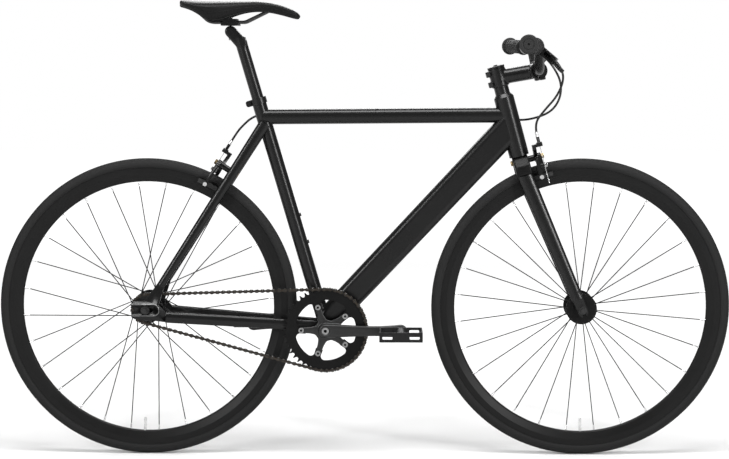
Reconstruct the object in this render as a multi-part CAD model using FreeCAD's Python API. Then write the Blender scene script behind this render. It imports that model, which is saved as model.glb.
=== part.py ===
import FreeCAD
import Part
import math
import os

V = FreeCAD.Vector

# Fixed gear bike, in millimetres. X points forward, Y to the rider's left and Z up.
# The origin is on the ground, midway between the axles, in the mid-plane of the wheels.

# Fits
running_gap = 0.05
seat_gap = 0.02
free_gap = 0.4

# Wheels
wheel_gap = 306.0
bead_seat_radius = 311.0
tyre_height = 28.0
tyre_width = 28.0
tyre_wall = 2.6
bead_thickness = 3.0
tube_wall = 0.9
rim_flange_height = 7.0
rim_depth = 32.0
rim_width = 23.0
rim_wall = 1.8
rim_floor = 2.5
rim_apex_width = 11.0
brake_track_height = 14.0
spoke_count = 28
spoke_radius = 1.0
spoke_head_radius = 1.9
spoke_head_height = 0.9
spoke_elbow_radius = 1.8
nipple_radius = 2.0
nipple_length = 15.0
nipple_head_radius = 2.9
nipple_head_height = 2.4
valve_radius = 3.0
valve_bore_radius = 1.2
valve_length = 60.0
hub_flange_radius = 35.0
hub_flange_thickness = 3.2
hub_hole_circle_radius = 31.5
hub_barrel_radius = 15.0
bearing_outer_radius = 13.0
bearing_width = 8.0
locknut_radius = 8.0
axle_nut_radius = 8.6
axle_nut_height = 8.0
axle_washer_radius = 10.0
axle_washer_thickness = 1.6

front_dropout_gap = 100.0
front_axle_radius = 4.5
front_flange_offset = 33.0
front_first_spoke = 277.0
front_valve_angle = 270.6
fork_end_thickness = 6.0

rear_dropout_gap = 120.0
rear_axle_radius = 5.0
rear_flange_offset = 27.0
rear_first_spoke = 274.1
rear_valve_angle = 267.7
rear_spoke_crossings = 2
dropout_thickness = 6.0

# Chain drive
chain_pitch = 12.7
ring_teeth = 46
sprocket_teeth = 16
chainstay_clearance = 65.0
chain_line = 42.0
roller_radius = 3.875
roller_seat_gap = 0.14
roller_width = 3.3
tooth_width = 2.7
tooth_height = 3.9
tooth_tip_width = 1.7
link_plate_thickness = 1.0
link_plate_radius = 4.2
link_waist_radius = 3.1
chain_pin_radius = 1.8
chain_pin_gap = 0.12
link_side_gap = 0.15
ring_bolt_circle_radius = 55.0
ring_bolt_count = 5
ring_window_radius = 69.0
ring_opening_radius = 46.0
ring_bolt_radius = 4.0
ring_bolt_head_radius = 6.2
ring_bolt_head_height = 1.6
lockring_radius = 20.0
lockring_thickness = 4.0

# Cranks and pedals
bracket_drop = 48.0
shell_radius = 20.0
shell_bore_radius = 17.5
shell_width = 68.0
cup_flange_radius = 20.0
cup_flange_thickness = 2.5
cup_depth = 14.0
spindle_radius = 8.5
spindle_square = 13.0
spindle_length = 112.0
crank_length = 170.0
crank_inner = 50.0
crank_thickness = 13.0
crank_boss_radius = 17.0
crank_boss_depth = 9.0
crank_root_height = 31.0
crank_waist_height = 25.0
crank_tip_radius = 15.0
crank_edge_fillet = 4.0
crank_bolt_head_radius = 8.0
crank_bolt_head_height = 5.0
crank_bolt_radius = 4.0
crank_bolt_depth = 14.0
spider_thickness = 6.0
spider_root_width = 19.0
spider_tip_width = 13.0
spider_hub_radius = 32.0
pedal_axle_radius = 4.5
pedal_axle_length = 78.0
pedal_collar_radius = 7.5
pedal_collar_width = 6.0
pedal_length = 96.0
pedal_width = 84.0
pedal_height = 22.0
pedal_plate = 3.4
pedal_barrel_radius = 10.0
pedal_cap_thickness = 3.0
pedal_tooth_count = 7
pedal_tooth_depth = 3.0

# Frame tubes
head_angle = 74.8
seat_angle = 73.6
head_tube_radius = 22.5
head_tube_bore_radius = 17.0
head_tube_length = 136.6
headset_bearing_radius = 20.5
headset_bearing_height = 7.0
seat_tube_radius = 15.9
seat_tube_length = 545.0
seatpost_radius = 13.6
tube_wall_thickness = 1.8
top_tube_height = 34.0
top_tube_width = 36.0
top_tube_seat_drop = 44.0
top_tube_head_drop = 41.0
down_tube_depth_low = 58.0
down_tube_depth_high = 64.0
down_tube_width = 40.0
down_tube_corner = 14.0
down_tube_foot = 11.0
down_tube_head_rise = 71.0
chainstay_depth = 24.0
chainstay_width_front = 11.0
chainstay_width_rear = 14.0
chainstay_side_front = 23.5
chainstay_drop_rear = 17.0
chainstay_rise_front = 5.0
stay_wall = 1.6
seatstay_depth_top = 26.0
seatstay_depth_bottom = 17.5
seatstay_width = 14.0
seatstay_side_top = 14.5
seatstay_top_drop = 59.0
bridge_radius = 7.5
dropout_rear_reach = 31.6
dropout_height = 37.0
dropout_slot_front = 18.0
dropout_boss_height = 29.0
dropout_boss_proud = 2.4
dropout_rim_width = 3.0
chainstay_end_reach = 46.0
seatstay_end_reach = 66.0
boss_screw_radius = 4.2
boss_screw_height = 3.2
boss_spacing = 64.0
boss_low_height = 201.0
seat_collar_radius = 18.6
seat_collar_height = 14.0
seat_collar_ear = 29.0
seat_collar_ear_width = 15.0
seat_collar_slot = 2.4
clamp_bolt_radius = 2.5
clamp_bolt_head_radius = 4.4
clamp_bolt_head_height = 4.0

# Fork and cockpit
fork_rake = 45.6
crown_clearance = 27.0
crown_race_height = 3.0
crown_race_radius = 19.0
crown_shoulder_drop = 41.0
crown_depth = 36.0
crown_round = 9.0
fork_arch_gap = 6.5
fork_blade_width_top = 18.0
fork_blade_width_tip = 14.0
fork_blade_depth_top = 36.0
fork_blade_depth_tip = 27.0
fork_end_reach = 26.0
steerer_radius = 14.3
steerer_wall = 2.3
headset_cover_height = 7.6
spacer_radius = 16.5
spacer_height = 8.6
spacer_count = 2
stem_clamp_height = 43.0
stem_clamp_radius = 19.5
stem_length = 90.0
stem_rise = 9.8
stem_radius = 17.0
stem_face_radius = 20.0
stem_face_width = 42.0
stem_face_split = 2.0
stem_ear_reach = 26.0
stem_ear_width = 24.0
stem_slot = 2.4
top_cap_height = 5.0
bar_radius = 11.1
bar_centre_radius = 12.7
bar_centre_half = 36.0
bar_wall = 2.2
bar_half_width = 300.0
bar_rise = 57.0
bar_sweep = 43.0
bar_rise_start = 46.0
bar_rise_end = 108.0
bar_bend_radius = 45.0
grip_radius = 16.0
grip_length = 124.0
grip_flange_radius = 20.5
grip_flange_thickness = 4.5
grip_end_thickness = 3.0

# Brakes
lever_place = 152.0
lever_droop = 40.0
lever_clamp_radius = 15.5
lever_clamp_width = 14.0
lever_block_inner = 22.0
lever_block_outer = 14.0
lever_block_reach = 52.0
lever_block_height = 17.0
lever_pivot_out = 6.0
lever_pivot_reach = 42.0
lever_knuckle_radius = 8.0
lever_pin_radius = 2.5
lever_thickness = 8.0
lever_blade_radius = 5.5
lever_blade_mid_out = 52.0
lever_blade_mid_reach = 60.0
lever_tip_out = 104.0
lever_tip_reach = 82.0
barrel_radius = 4.5
barrel_length = 18.0
barrel_reach = 34.0
front_brake_drop = 9.5
rear_brake_clearance = 24.0
brake_bolt_radius = 3.0
brake_bolt_head_radius = 6.5
brake_bolt_head_height = 6.0
front_arm_start = 31.0
rear_arm_start = 27.0
arm_thickness = 8.0
arm_layer_gap = 0.4
arm_bar_radius = 6.5
arm_side = 33.0
cable_side = 36.0
adjuster_height = 24.0
adjuster_block_height = 7.0
adjuster_radius = 3.6
adjuster_length = 15.0
lockwheel_radius = 6.5
lockwheel_height = 2.4
anchor_drop = 20.0
anchor_side = 31.0
anchor_radius = 2.8
anchor_washer_radius = 6.4
anchor_head_radius = 5.0
pad_gap = 2.4
pad_thickness = 8.0
pad_height = 9.0
pad_length = 46.0
pad_rise = 2.0
pad_bolt_radius = 3.0
housing_radius = 2.5
wire_radius = 0.8
wire_bore_radius = 1.3
wire_tail = 42.0
cable_lead = 30.0

# Seat
seatpost_wall = 2.4
seatpost_exposed = 142.0
seatpost_insert = 150.0
post_head_setback = 20.0
post_head_radius = 13.0
rail_radius = 3.5
rail_half_gap = 22.0
rail_rise = 34.0
rail_front = 92.0
rail_rear = 82.0
clamp_length = 40.0
clamp_height = 15.0
saddle_nose = 157.0
saddle_tail = 114.0
saddle_width = 146.0
saddle_nose_width = 38.0
saddle_rise = 47.0
saddle_nose_fall = 27.0
saddle_tail_lift = 6.0
saddle_skirt_depth = 23.0

# Smaller sizes
inner_tube_radius = 9.2
rim_apex_rise = 0.5
bearing_lip = 2.5
hub_neck_radius = 17.48
hub_barrel_flare = 4.0
spoke_hole_gap = 0.3
spoke_lift = 0.9
axle_end_reach = 6.0
axle_end_step = 0.25
locknut_length = 5.0
front_neck = 4.0
seat_spread = 62.0
ring_window_inner = 24.0
ring_window_corner = 9.0
ring_window_root_corner = 6.0
ring_window_overrun = 12.0
sprocket_collar = 5.0
lockring_notches = 4
lockring_notch_radius = 1.6
link_end_spread = 25.0
pin_head = 0.4
crank_tip_flare = 28.0
crank_root_reach = 40.0
crank_root_fall = 1.5
crank_tip_shoulder = 2.0
ring_bolt_socket_radius = 3.0
ring_bolt_socket_depth = 1.4
crank_bolt_socket_depth = 4.0
pedal_plate_inset = 2.0
pedal_window_place = 30.0
pedal_window_length = 22.0
pedal_window_height = 9.0
top_tube_corner = 15.5
seat_slot_depth = 24.0
dropout_brow = 3.0
dropout_tang_step = 1.5
dropout_throat = 16.0
dropout_corner = 6.0
dropout_border_inset = 6.0
crown_hole_wall = 8.0
crown_neck_gap = 2.0
crown_neck_drop = 20.0
fork_end_overlap = 10.0
fork_end_below = 6.0
fork_end_radius = 11.0
steerer_recess = 3.0
stem_ear_inset = 3.0
stem_ear_height = 13.0
stem_bolt_back = 21.0
face_bolt_rise = 17.5
face_bolt_side = 14.0
face_bolt_depth = 10.0
face_bolt_front = 9.0
face_tab_radius = 4.6
bar_knee_sweep = 6.0
bar_upsweep = 5.0
grip_flange_step = 2.0
lever_block_start = 9.0
lever_block_round = 4.0
lever_slot_inner = 8.0
lever_slot_start = 22.0
lever_tip_step = 1.2
barrel_collar = 5.0
barrel_collar_step = 2.0
arm_lean = 4.0
arm_shoulder_drop = 4.0
arm_boss_radius = 9.0
arm_foot_radius = 5.5
pad_bolt_reach = 4.0
pad_nut_ratio = 1.7
anchor_washer_thickness = 1.6
anchor_head_height = 4.0
brake_nut_height = 5.0
brake_sleeve_radius = 7.5
boss_screw_sink = 1.0
seat_collar_round = 5.0
seatpost_plug = 26.0
post_head_width = 24.0
clamp_bolt_drop = 36.0
clamp_lip = 3.0
clamp_step = 8.0
rail_rear_side = 30.0
rail_front_side = 12.0
rail_rear_rise = 33.0
rail_front_rise = 28.0
rail_flat_rear = 46.0
rail_flat_front = 34.0
rail_bend_radius = 22.0
saddle_crown = 9.0
saddle_foot_share = 0.8
saddle_side_bow = 3.0
saddle_wide_share = 0.2
saddle_taper = 0.38
saddle_end_power = 8
saddle_end_share = 0.35
saddle_tail_share = 0.3
saddle_fall_share = 0.6
saddle_fall_power = 2.2
saddle_tail_depth = 17.0
saddle_nose_gain = 6.0
saddle_nose_thin = 14.0
saddle_thin_power = 12
saddle_skirt_share = 0.28
saddle_skirt_rear = 0.13
saddle_skirt_front = 0.2
saddle_end_depth = 0.5
saddle_end_sink = 0.4
saddle_sections = 15
saddle_pocket_shares = (0.16, 0.28, 0.42, 0.52)
saddle_wall = 7.0
saddle_padding = 20.0

# Derived places
tyre_radius = bead_seat_radius + tyre_height
wheelbase = 2 * tyre_radius + wheel_gap
fork_crown_height = tyre_radius + crown_clearance
front_brake_hole = fork_crown_height - front_brake_drop
rear_brake_hole = tyre_radius + rear_brake_clearance
pad_radius = bead_seat_radius + pad_rise
rear_axle = V(-wheelbase / 2, 0, tyre_radius)
front_axle = V(wheelbase / 2, 0, tyre_radius)
left = V(0, 1, 0)
rim_flange_radius = bead_seat_radius + rim_flange_height
rim_inner_radius = rim_flange_radius - rim_depth
head_turn = math.radians(head_angle)
steer_up = V(-math.cos(head_turn), 0, math.sin(head_turn))
steer_front = V(math.sin(head_turn), 0, math.cos(head_turn))
steer_foot = front_axle - steer_front * fork_rake
head_bottom = fork_crown_height + crown_race_height + free_gap
head_top = head_bottom + head_tube_length
seat_turn = math.radians(seat_angle)
seat_up = V(-math.cos(seat_turn), 0, math.sin(seat_turn))
sides = {"right": -1, "left": 1}


def pitch_radius(teeth):
    return chain_pitch / (2 * math.sin(math.pi / teeth))


def links_needed(distance):
    """Links in a chain round both toothed wheels at a centre distance."""
    lean = math.asin((pitch_radius(ring_teeth) - pitch_radius(sprocket_teeth)) / distance)
    straight = 2 * distance * math.cos(lean) / chain_pitch
    round_ring = ring_teeth * (0.5 + lean / math.pi)
    round_sprocket = sprocket_teeth * (0.5 - lean / math.pi)
    return straight + round_ring + round_sprocket


chain_links = 2 * math.ceil(links_needed(tyre_radius + chainstay_clearance) / 2)


def closing_distance():
    """Centre distance at which the chain's whole number of links closes."""
    low = pitch_radius(ring_teeth) + pitch_radius(sprocket_teeth)
    high = chain_links * chain_pitch
    for _ in range(80):
        middle = (low + high) / 2
        if links_needed(middle) < chain_links:
            low = middle
        else:
            high = middle
    return low


chainstay_length = closing_distance()
bracket = rear_axle + V(math.sqrt(chainstay_length ** 2 - bracket_drop ** 2), 0, -bracket_drop)


def on_steer(height, front=0.0, side=0.0):
    return steer_foot + steer_up * height + steer_front * front + left * side


def on_seat(height, front=0.0, side=0.0):
    seat_front = V(seat_up.z, 0, -seat_up.x)
    return bracket + seat_up * height + seat_front * front + left * side


def unit(vector):
    return vector * (1.0 / vector.Length)


def cylinder(start, end, radius):
    return Part.makeCylinder(radius, (end - start).Length, start, end - start)


def tube(start, end, outer, inner):
    return cylinder(start, end, outer).cut(cylinder(start, end, inner))


def polygon_face(points):
    return Part.Face(Part.makePolygon(points + [points[0]]))


def prism(points, direction):
    return polygon_face(points).extrude(direction)


def block(origin, along_a, along_b, along_c):
    """A box from one corner and its three edge vectors."""
    return prism([origin, origin + along_a, origin + along_a + along_b, origin + along_b], along_c)


def bar(start, end, start_radius, end_radius, direction):
    """A flat bar with round ends, between two points, of thickness direction."""
    across = unit(direction.cross(end - start))
    run = unit(end - start)
    face = Part.Face(Part.Wire([
        Part.LineSegment(start + across * start_radius, end + across * end_radius).toShape(),
        Part.Arc(end + across * end_radius, end + run * end_radius, end - across * end_radius).toShape(),
        Part.LineSegment(end - across * end_radius, start - across * start_radius).toShape(),
        Part.Arc(start - across * start_radius, start - run * start_radius, start + across * start_radius).toShape(),
    ]))
    return face.extrude(direction)


def hexagon(centre, radius, direction):
    normal = unit(direction)
    first = unit(normal.cross(V(0.31, 0.83, 0.47)))
    second = normal.cross(first)
    corners = []
    for k in range(6):
        turn = math.radians(60 * k)
        corners.append(centre + first * (radius * math.cos(turn)) + second * (radius * math.sin(turn)))
    return prism(corners, direction)


def oval(centre, long_half, short_half):
    """An ellipse given by its centre and two half-axis vectors."""
    if long_half.Length >= short_half.Length:
        curve = Part.Ellipse(centre + long_half, centre + short_half, centre)
    else:
        curve = Part.Ellipse(centre + short_half, centre + long_half, centre)
    return Part.Wire([curve.toShape()])


def rounded_rectangle(centre, half_a, half_b, corner):
    """A rounded rectangle about centre, with half-side vectors and a corner radius."""
    run_a = unit(half_a)
    run_b = unit(half_b)
    inset_a = half_a - run_a * corner
    inset_b = half_b - run_b * corner
    bow = corner * math.sqrt(0.5)
    edges = []
    last = None
    first = None
    for sign_a, sign_b in ((1, 1), (-1, 1), (-1, -1), (1, -1)):
        hub = centre + inset_a * sign_a + inset_b * sign_b
        on_a = hub + run_a * (sign_a * corner)
        on_b = hub + run_b * (sign_b * corner)
        middle = hub + run_a * (sign_a * bow) + run_b * (sign_b * bow)
        enter, leave = (on_a, on_b) if sign_a == sign_b else (on_b, on_a)
        if last is not None:
            edges.append(Part.LineSegment(last, enter).toShape())
        else:
            first = enter
        edges.append(Part.Arc(enter, middle, leave).toShape())
        last = leave
    edges.append(Part.LineSegment(last, first).toShape())
    return Part.Wire(edges)


def loft(wires, ruled=True):
    return Part.makeLoft(wires, True, ruled)


def route(points, share=0.45):
    """Straight runs joined by tangent arcs, as large as the runs allow."""
    edges = []
    start = points[0]
    radii = []
    for before, corner, after in zip(points, points[1:], points[2:]):
        into = unit(corner - before)
        out = unit(after - corner)
        turn = into.getAngle(out)
        reach = share * min((corner - before).Length, (after - corner).Length)
        radii.append(reach / math.tan(turn / 2))
        first = corner - into * reach
        last = corner + out * reach
        centre_way = unit(out - into)
        centre = corner + centre_way * (reach / math.sin(turn / 2))
        middle = centre - centre_way * radii[-1]
        edges.append(Part.LineSegment(start, first).toShape())
        edges.append(Part.Arc(first, middle, last).toShape())
        start = last
    edges.append(Part.LineSegment(start, points[-1]).toShape())
    return Part.Wire(edges), radii


def sweep(path, radius):
    """A round rod along a path that starts with a straight run."""
    first = path.Edges[0]
    start = first.valueAt(first.FirstParameter)
    run = first.tangentAt(first.FirstParameter)
    circle = Part.Wire([Part.Circle(start, run, radius).toShape()])
    return path.makePipeShell([circle], True, False)


def bent(points, bend_radius):
    """Straight runs joined by tangent arcs of one radius."""
    edges = []
    start = points[0]
    for before, corner, after in zip(points, points[1:], points[2:]):
        into = unit(corner - before)
        out = unit(after - corner)
        turn = into.getAngle(out)
        reach = bend_radius * math.tan(turn / 2)
        centre_way = unit(out - into)
        middle = corner + centre_way * (bend_radius / math.cos(turn / 2) - bend_radius)
        edges.append(Part.LineSegment(start, corner - into * reach).toShape())
        edges.append(Part.Arc(corner - into * reach, middle, corner + out * reach).toShape())
        start = corner + out * reach
    edges.append(Part.LineSegment(start, points[-1]).toShape())
    return Part.Wire(edges)


def turned(profile, centre):
    """Revolve a closed (radius, y) profile about the wheel axis through centre."""
    points = [centre + V(radius, y, 0) for radius, y in profile]
    return polygon_face(points).revolve(centre, left, 360)


def turned_wire(edges, centre):
    return Part.Face(Part.Wire(edges)).revolve(centre, left, 360)


def largest(shape):
    return max(shape.Solids, key=lambda solid: solid.Volume)


def at_angle(centre, radius, degrees, side=0.0):
    """A point at an angle from straight ahead, seen from the drive side."""
    turn = math.radians(degrees)
    return centre + V(radius * math.cos(turn), side, radius * math.sin(turn))


def fuse(shapes):
    whole = shapes[0].multiFuse(shapes[1:])
    return whole.removeSplitter()


nodes = {}


def save(name, shapes):
    """Keep a node: one shape, or a list of separate solids."""
    if isinstance(shapes, list):
        solids = []
        for shape in shapes:
            solids.extend(shape.Solids)
    else:
        solids = shapes.Solids
    nodes[name] = solids


# Wheels


def casing_arc(core, radius, start, end):
    """An arc of a tyre casing, in (radius, y), from one angle off the crown to another."""
    points = []
    for share in (0.0, 0.5, 1.0):
        turn = start + (end - start) * share
        points.append(V(core + radius * math.cos(turn), radius * math.sin(turn), 0))
    return Part.Arc(points[0], points[1], points[2]).toShape()


def tyre_section():
    """Closed edges of the tyre's section: casing outside, bead, casing inside, bead."""
    core = tyre_radius - tyre_width / 2
    shoulder = rim_flange_radius + free_gap
    outer = tyre_width / 2
    inner = outer - tyre_wall
    outer_turn = math.acos((shoulder - core) / outer)
    inner_turn = math.acos((shoulder - core) / inner)
    bead_half = rim_width / 2 - rim_wall - free_gap / 2
    foot = bead_seat_radius + free_gap
    edges = [
        casing_arc(core, outer, -outer_turn, 0),
        casing_arc(core, outer, 0, outer_turn),
        casing_arc(core, inner, inner_turn, 0),
        casing_arc(core, inner, 0, -inner_turn),
    ]
    for sign in (-1, 1):
        corners = [
            V(shoulder, sign * outer * math.sin(outer_turn), 0),
            V(shoulder, sign * bead_half, 0),
            V(foot, sign * bead_half, 0),
            V(foot, sign * (bead_half - bead_thickness), 0),
            V(shoulder, sign * inner * math.sin(inner_turn), 0),
        ]
        for start, end in zip(corners, corners[1:]):
            edges.append(Part.LineSegment(start, end).toShape())
    return Part.Wire(Part.__sortEdges__(edges))


def make_tyre(centre):
    section = tyre_section()
    section.translate(centre)
    return Part.Face(section).revolve(centre, left, 360)


def make_inner_tube(centre, valve_angle):
    """A hollow ring with its valve, which stands through the rim towards the hub."""
    ring_radius = tyre_radius - tyre_wall - free_gap - inner_tube_radius
    foot = at_angle(centre, ring_radius - inner_tube_radius + tube_wall, valve_angle)
    tip = at_angle(centre, ring_radius - inner_tube_radius - valve_length, valve_angle)
    middle = at_angle(centre, ring_radius, valve_angle)
    outside = Part.makeTorus(ring_radius, inner_tube_radius, centre, left)
    air = Part.makeTorus(ring_radius, inner_tube_radius - tube_wall, centre, left)
    shell = outside.fuse(cylinder(foot, tip, valve_radius))
    return shell.cut(air.fuse(cylinder(middle, tip, valve_bore_radius)))


def make_rim(centre, lines, valve_angle):
    half = rim_width / 2
    apex = rim_apex_width / 2
    track = rim_flange_radius - brake_track_height
    bed = bead_seat_radius - seat_gap
    shoulder = rim_inner_radius + rim_floor + rim_apex_rise
    corners = [
        (shoulder, apex),
        (track, half),
        (rim_flange_radius, half),
        (rim_flange_radius, half - rim_wall),
        (bed, half - rim_wall),
        (bed, rim_wall - half),
        (rim_flange_radius, rim_wall - half),
        (rim_flange_radius, -half),
        (track, -half),
        (shoulder, -apex),
    ]
    points = [centre + V(radius, y, 0) for radius, y in corners]
    edges = [Part.LineSegment(a, b).toShape() for a, b in zip(points, points[1:])]
    apex_point = centre + V(rim_inner_radius, 0, 0)
    edges.append(Part.Arc(points[-1], apex_point, points[0]).toShape())
    body = turned_wire(edges, centre)
    floor = rim_inner_radius + rim_floor
    side = half - rim_wall
    floor_half = apex - rim_wall
    chamber = [(floor, floor_half), (track, side), (bed - rim_wall, side)]
    chamber += [(radius, -y) for radius, y in reversed(chamber)]
    body = body.cut(turned(chamber, centre))
    holes = []
    for _, seat in lines:
        way = unit(seat["start"] - seat["end"])
        holes.append(cylinder(seat["end"] + way * nipple_length, seat["end"] - way * rim_floor, nipple_radius + free_gap))
    valve_inner = at_angle(centre, rim_inner_radius - rim_floor, valve_angle)
    valve_outer = at_angle(centre, rim_flange_radius, valve_angle)
    holes.append(cylinder(valve_inner, valve_outer, valve_radius + free_gap))
    return largest(body.cut(Part.makeCompound(holes)))


def spoke_lines(centre, flange_offset, first_angle, crossings):
    """Where each spoke leaves its flange and where its nipple seats in the rim."""
    lines = []
    step = 360.0 / spoke_count
    lead = crossings * 2 * step
    floor = rim_inner_radius + rim_floor + free_gap
    for k in range(spoke_count):
        rim_turn = first_angle + k * step
        side = -1 if k % 2 == 0 else 1
        swing = 1 if k % 4 < 2 else -1
        outside = swing if crossings else -1
        leave = side * outside
        hub_turn = rim_turn + swing * lead
        hole = at_angle(centre, hub_hole_circle_radius, hub_turn, side * flange_offset)
        lift = spoke_lift if outside > 0 else seat_gap
        elbow = hole + left * (leave * (hub_flange_thickness / 2 + spoke_radius + lift))
        seat = at_angle(centre, floor, rim_turn)
        lines.append((hole, {"start": elbow, "end": seat, "leave": leave}))
    return lines


def make_spoke(hole, line):
    back = left * (-line["leave"])
    head_foot = hole + back * (hub_flange_thickness / 2 + seat_gap)
    path = bent([head_foot, line["start"], line["end"]], spoke_elbow_radius)
    rod = sweep(path, spoke_radius)
    head = cylinder(head_foot, head_foot + back * spoke_head_height, spoke_head_radius)
    return rod.fuse(head)


def make_nipple(line):
    seat = line["end"]
    way = unit(line["start"] - seat)
    across = unit(way.cross(left))
    bore = spoke_radius + running_gap
    profile = [
        (-nipple_head_height, bore),
        (-nipple_head_height, nipple_head_radius),
        (0, nipple_head_radius),
        (0, nipple_radius),
        (nipple_length, nipple_radius),
        (nipple_length, bore),
    ]
    points = [seat + way * run + across * radius for run, radius in profile]
    return polygon_face(points).revolve(seat, way, 360)


def make_hub(centre, hub_end, flange_offset, neck, lines):
    """Hub shell: two flanges, a barrel, end necks and a pocket for each bearing."""
    bore = bearing_outer_radius - bearing_lip
    end_radius = bearing_outer_radius + bearing_lip
    edge = hub_flange_thickness / 2
    half = [
        (bearing_outer_radius, hub_end - bearing_width),
        (bearing_outer_radius, hub_end),
        (end_radius, hub_end),
        (end_radius, flange_offset + neck),
        (hub_neck_radius, flange_offset + neck),
        (hub_neck_radius, flange_offset + edge),
        (hub_flange_radius, flange_offset + edge),
        (hub_flange_radius, flange_offset - edge),
        (hub_barrel_radius + hub_barrel_flare, flange_offset - edge),
        (hub_barrel_radius, flange_offset - edge - hub_barrel_flare),
    ]
    other = [(radius, -y) for radius, y in reversed(half)]
    inside = [(bore, bearing_width - hub_end), (bore, hub_end - bearing_width)]
    shell = turned(half + other + inside, centre)
    holes = []
    for hole, line in lines:
        reach = left * hub_flange_thickness
        holes.append(cylinder(hole - reach, hole + reach, spoke_radius + spoke_hole_gap))
    return shell.cut(Part.makeCompound(holes))


def make_bearing(centre, middle, axle_radius):
    start = centre + left * (middle - bearing_width / 2)
    end = centre + left * (middle + bearing_width / 2)
    return tube(start, end, bearing_outer_radius - seat_gap, axle_radius + running_gap)


def make_axle(centre, axle_radius, hub_end, gap, plate):
    """A threaded axle with its locknuts inside the dropouts and washers and nuts outside."""
    outside = gap / 2 + plate
    full = outside + axle_washer_thickness + axle_nut_height
    end = full + axle_end_reach
    rod = cylinder(centre - left * full, centre + left * full, axle_radius)
    tips = cylinder(centre - left * end, centre + left * end, axle_radius - axle_end_step)
    pieces = [fuse([rod, tips])]
    for sign in (-1, 1):
        way = left * sign
        bore = axle_radius + seat_gap
        locknut_in = centre + way * (hub_end + free_gap)
        pieces.append(tube(locknut_in, centre + way * (gap / 2), locknut_radius, bore))
        washer_in = centre + way * outside
        washer_out = washer_in + way * axle_washer_thickness
        pieces.append(tube(washer_in, washer_out, axle_washer_radius, bore))
        nut = hexagon(washer_out, axle_nut_radius, way * axle_nut_height)
        pieces.append(nut.cut(cylinder(washer_out, washer_out + way * axle_nut_height, bore)))
    return pieces


def make_wheel(name, centre, flange_offset, first_angle, crossings, valve_angle, hub_end, neck, axle_radius):
    lines = spoke_lines(centre, flange_offset, first_angle, crossings)
    save(name + "_tyre", make_tyre(centre))
    save(name + "_inner_tube", make_inner_tube(centre, valve_angle))
    save(name + "_rim", make_rim(centre, lines, valve_angle))
    spokes = [make_spoke(hole, line) for hole, line in lines]
    save(name + "_spokes", spokes + [make_nipple(line) for _, line in lines])
    shells = [make_hub(centre, hub_end, flange_offset, neck, lines)]
    for sign in (-1, 1):
        shells.append(make_bearing(centre, sign * (hub_end - bearing_width / 2), axle_radius))
    save(name + "_hub", shells)


front_hub_end = front_dropout_gap / 2 - locknut_length
rear_hub_end = rear_dropout_gap / 2 - locknut_length
rear_neck = chain_line - rear_flange_offset + tooth_width / 2 + lockring_thickness
make_wheel("front", front_axle, front_flange_offset, front_first_spoke, 0, front_valve_angle,
           front_hub_end, front_neck, front_axle_radius)
make_wheel("rear", rear_axle, rear_flange_offset, rear_first_spoke, rear_spoke_crossings, rear_valve_angle,
           rear_hub_end, rear_neck, rear_axle_radius)
save("front_axle", make_axle(front_axle, front_axle_radius, front_hub_end, front_dropout_gap, fork_end_thickness))
save("rear_axle", make_axle(rear_axle, rear_axle_radius, rear_hub_end, rear_dropout_gap, dropout_thickness))


# Chain drive


def chain_pins():
    """Pin places round the chainring and sprocket, with the arc that each lies on."""
    ring_radius = pitch_radius(ring_teeth)
    sprocket_radius = pitch_radius(sprocket_teeth)
    lean = math.asin((ring_radius - sprocket_radius) / chainstay_length)
    base = math.atan2(bracket.z - rear_axle.z, bracket.x - rear_axle.x)
    straight = chainstay_length * math.cos(lean) / chain_pitch
    ring_share = ring_teeth * (0.5 + lean / math.pi)
    sprocket_share = sprocket_teeth * (0.5 - lean / math.pi)
    up = base + math.pi / 2 + lean
    down = base - math.pi / 2 - lean
    pins = []
    for k in range(chain_links):
        count = float(k)
        if count < ring_share:
            turn = up - count * 2 * math.pi / ring_teeth
            pins.append(("ring", at_angle(bracket, ring_radius, math.degrees(turn))))
            continue
        count -= ring_share
        if count < straight:
            ring_foot = at_angle(bracket, ring_radius, math.degrees(down))
            sprocket_foot = at_angle(rear_axle, sprocket_radius, math.degrees(down))
            pins.append(("low", ring_foot + unit(sprocket_foot - ring_foot) * (count * chain_pitch)))
            continue
        count -= straight
        if count < sprocket_share:
            turn = down - count * 2 * math.pi / sprocket_teeth
            pins.append(("sprocket", at_angle(rear_axle, sprocket_radius, math.degrees(turn))))
            continue
        count -= sprocket_share
        sprocket_head = at_angle(rear_axle, sprocket_radius, math.degrees(up))
        ring_head = at_angle(bracket, ring_radius, math.degrees(up))
        pins.append(("high", sprocket_head + unit(ring_head - sprocket_head) * (count * chain_pitch)))
    return pins


def first_gap(pins, place, centre):
    """Angle of a tooth gap: where the first pin on that wheel sits."""
    point = next(point for where, point in pins if where == place)
    return math.degrees(math.atan2(point.z - centre.z, point.x - centre.x))


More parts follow.
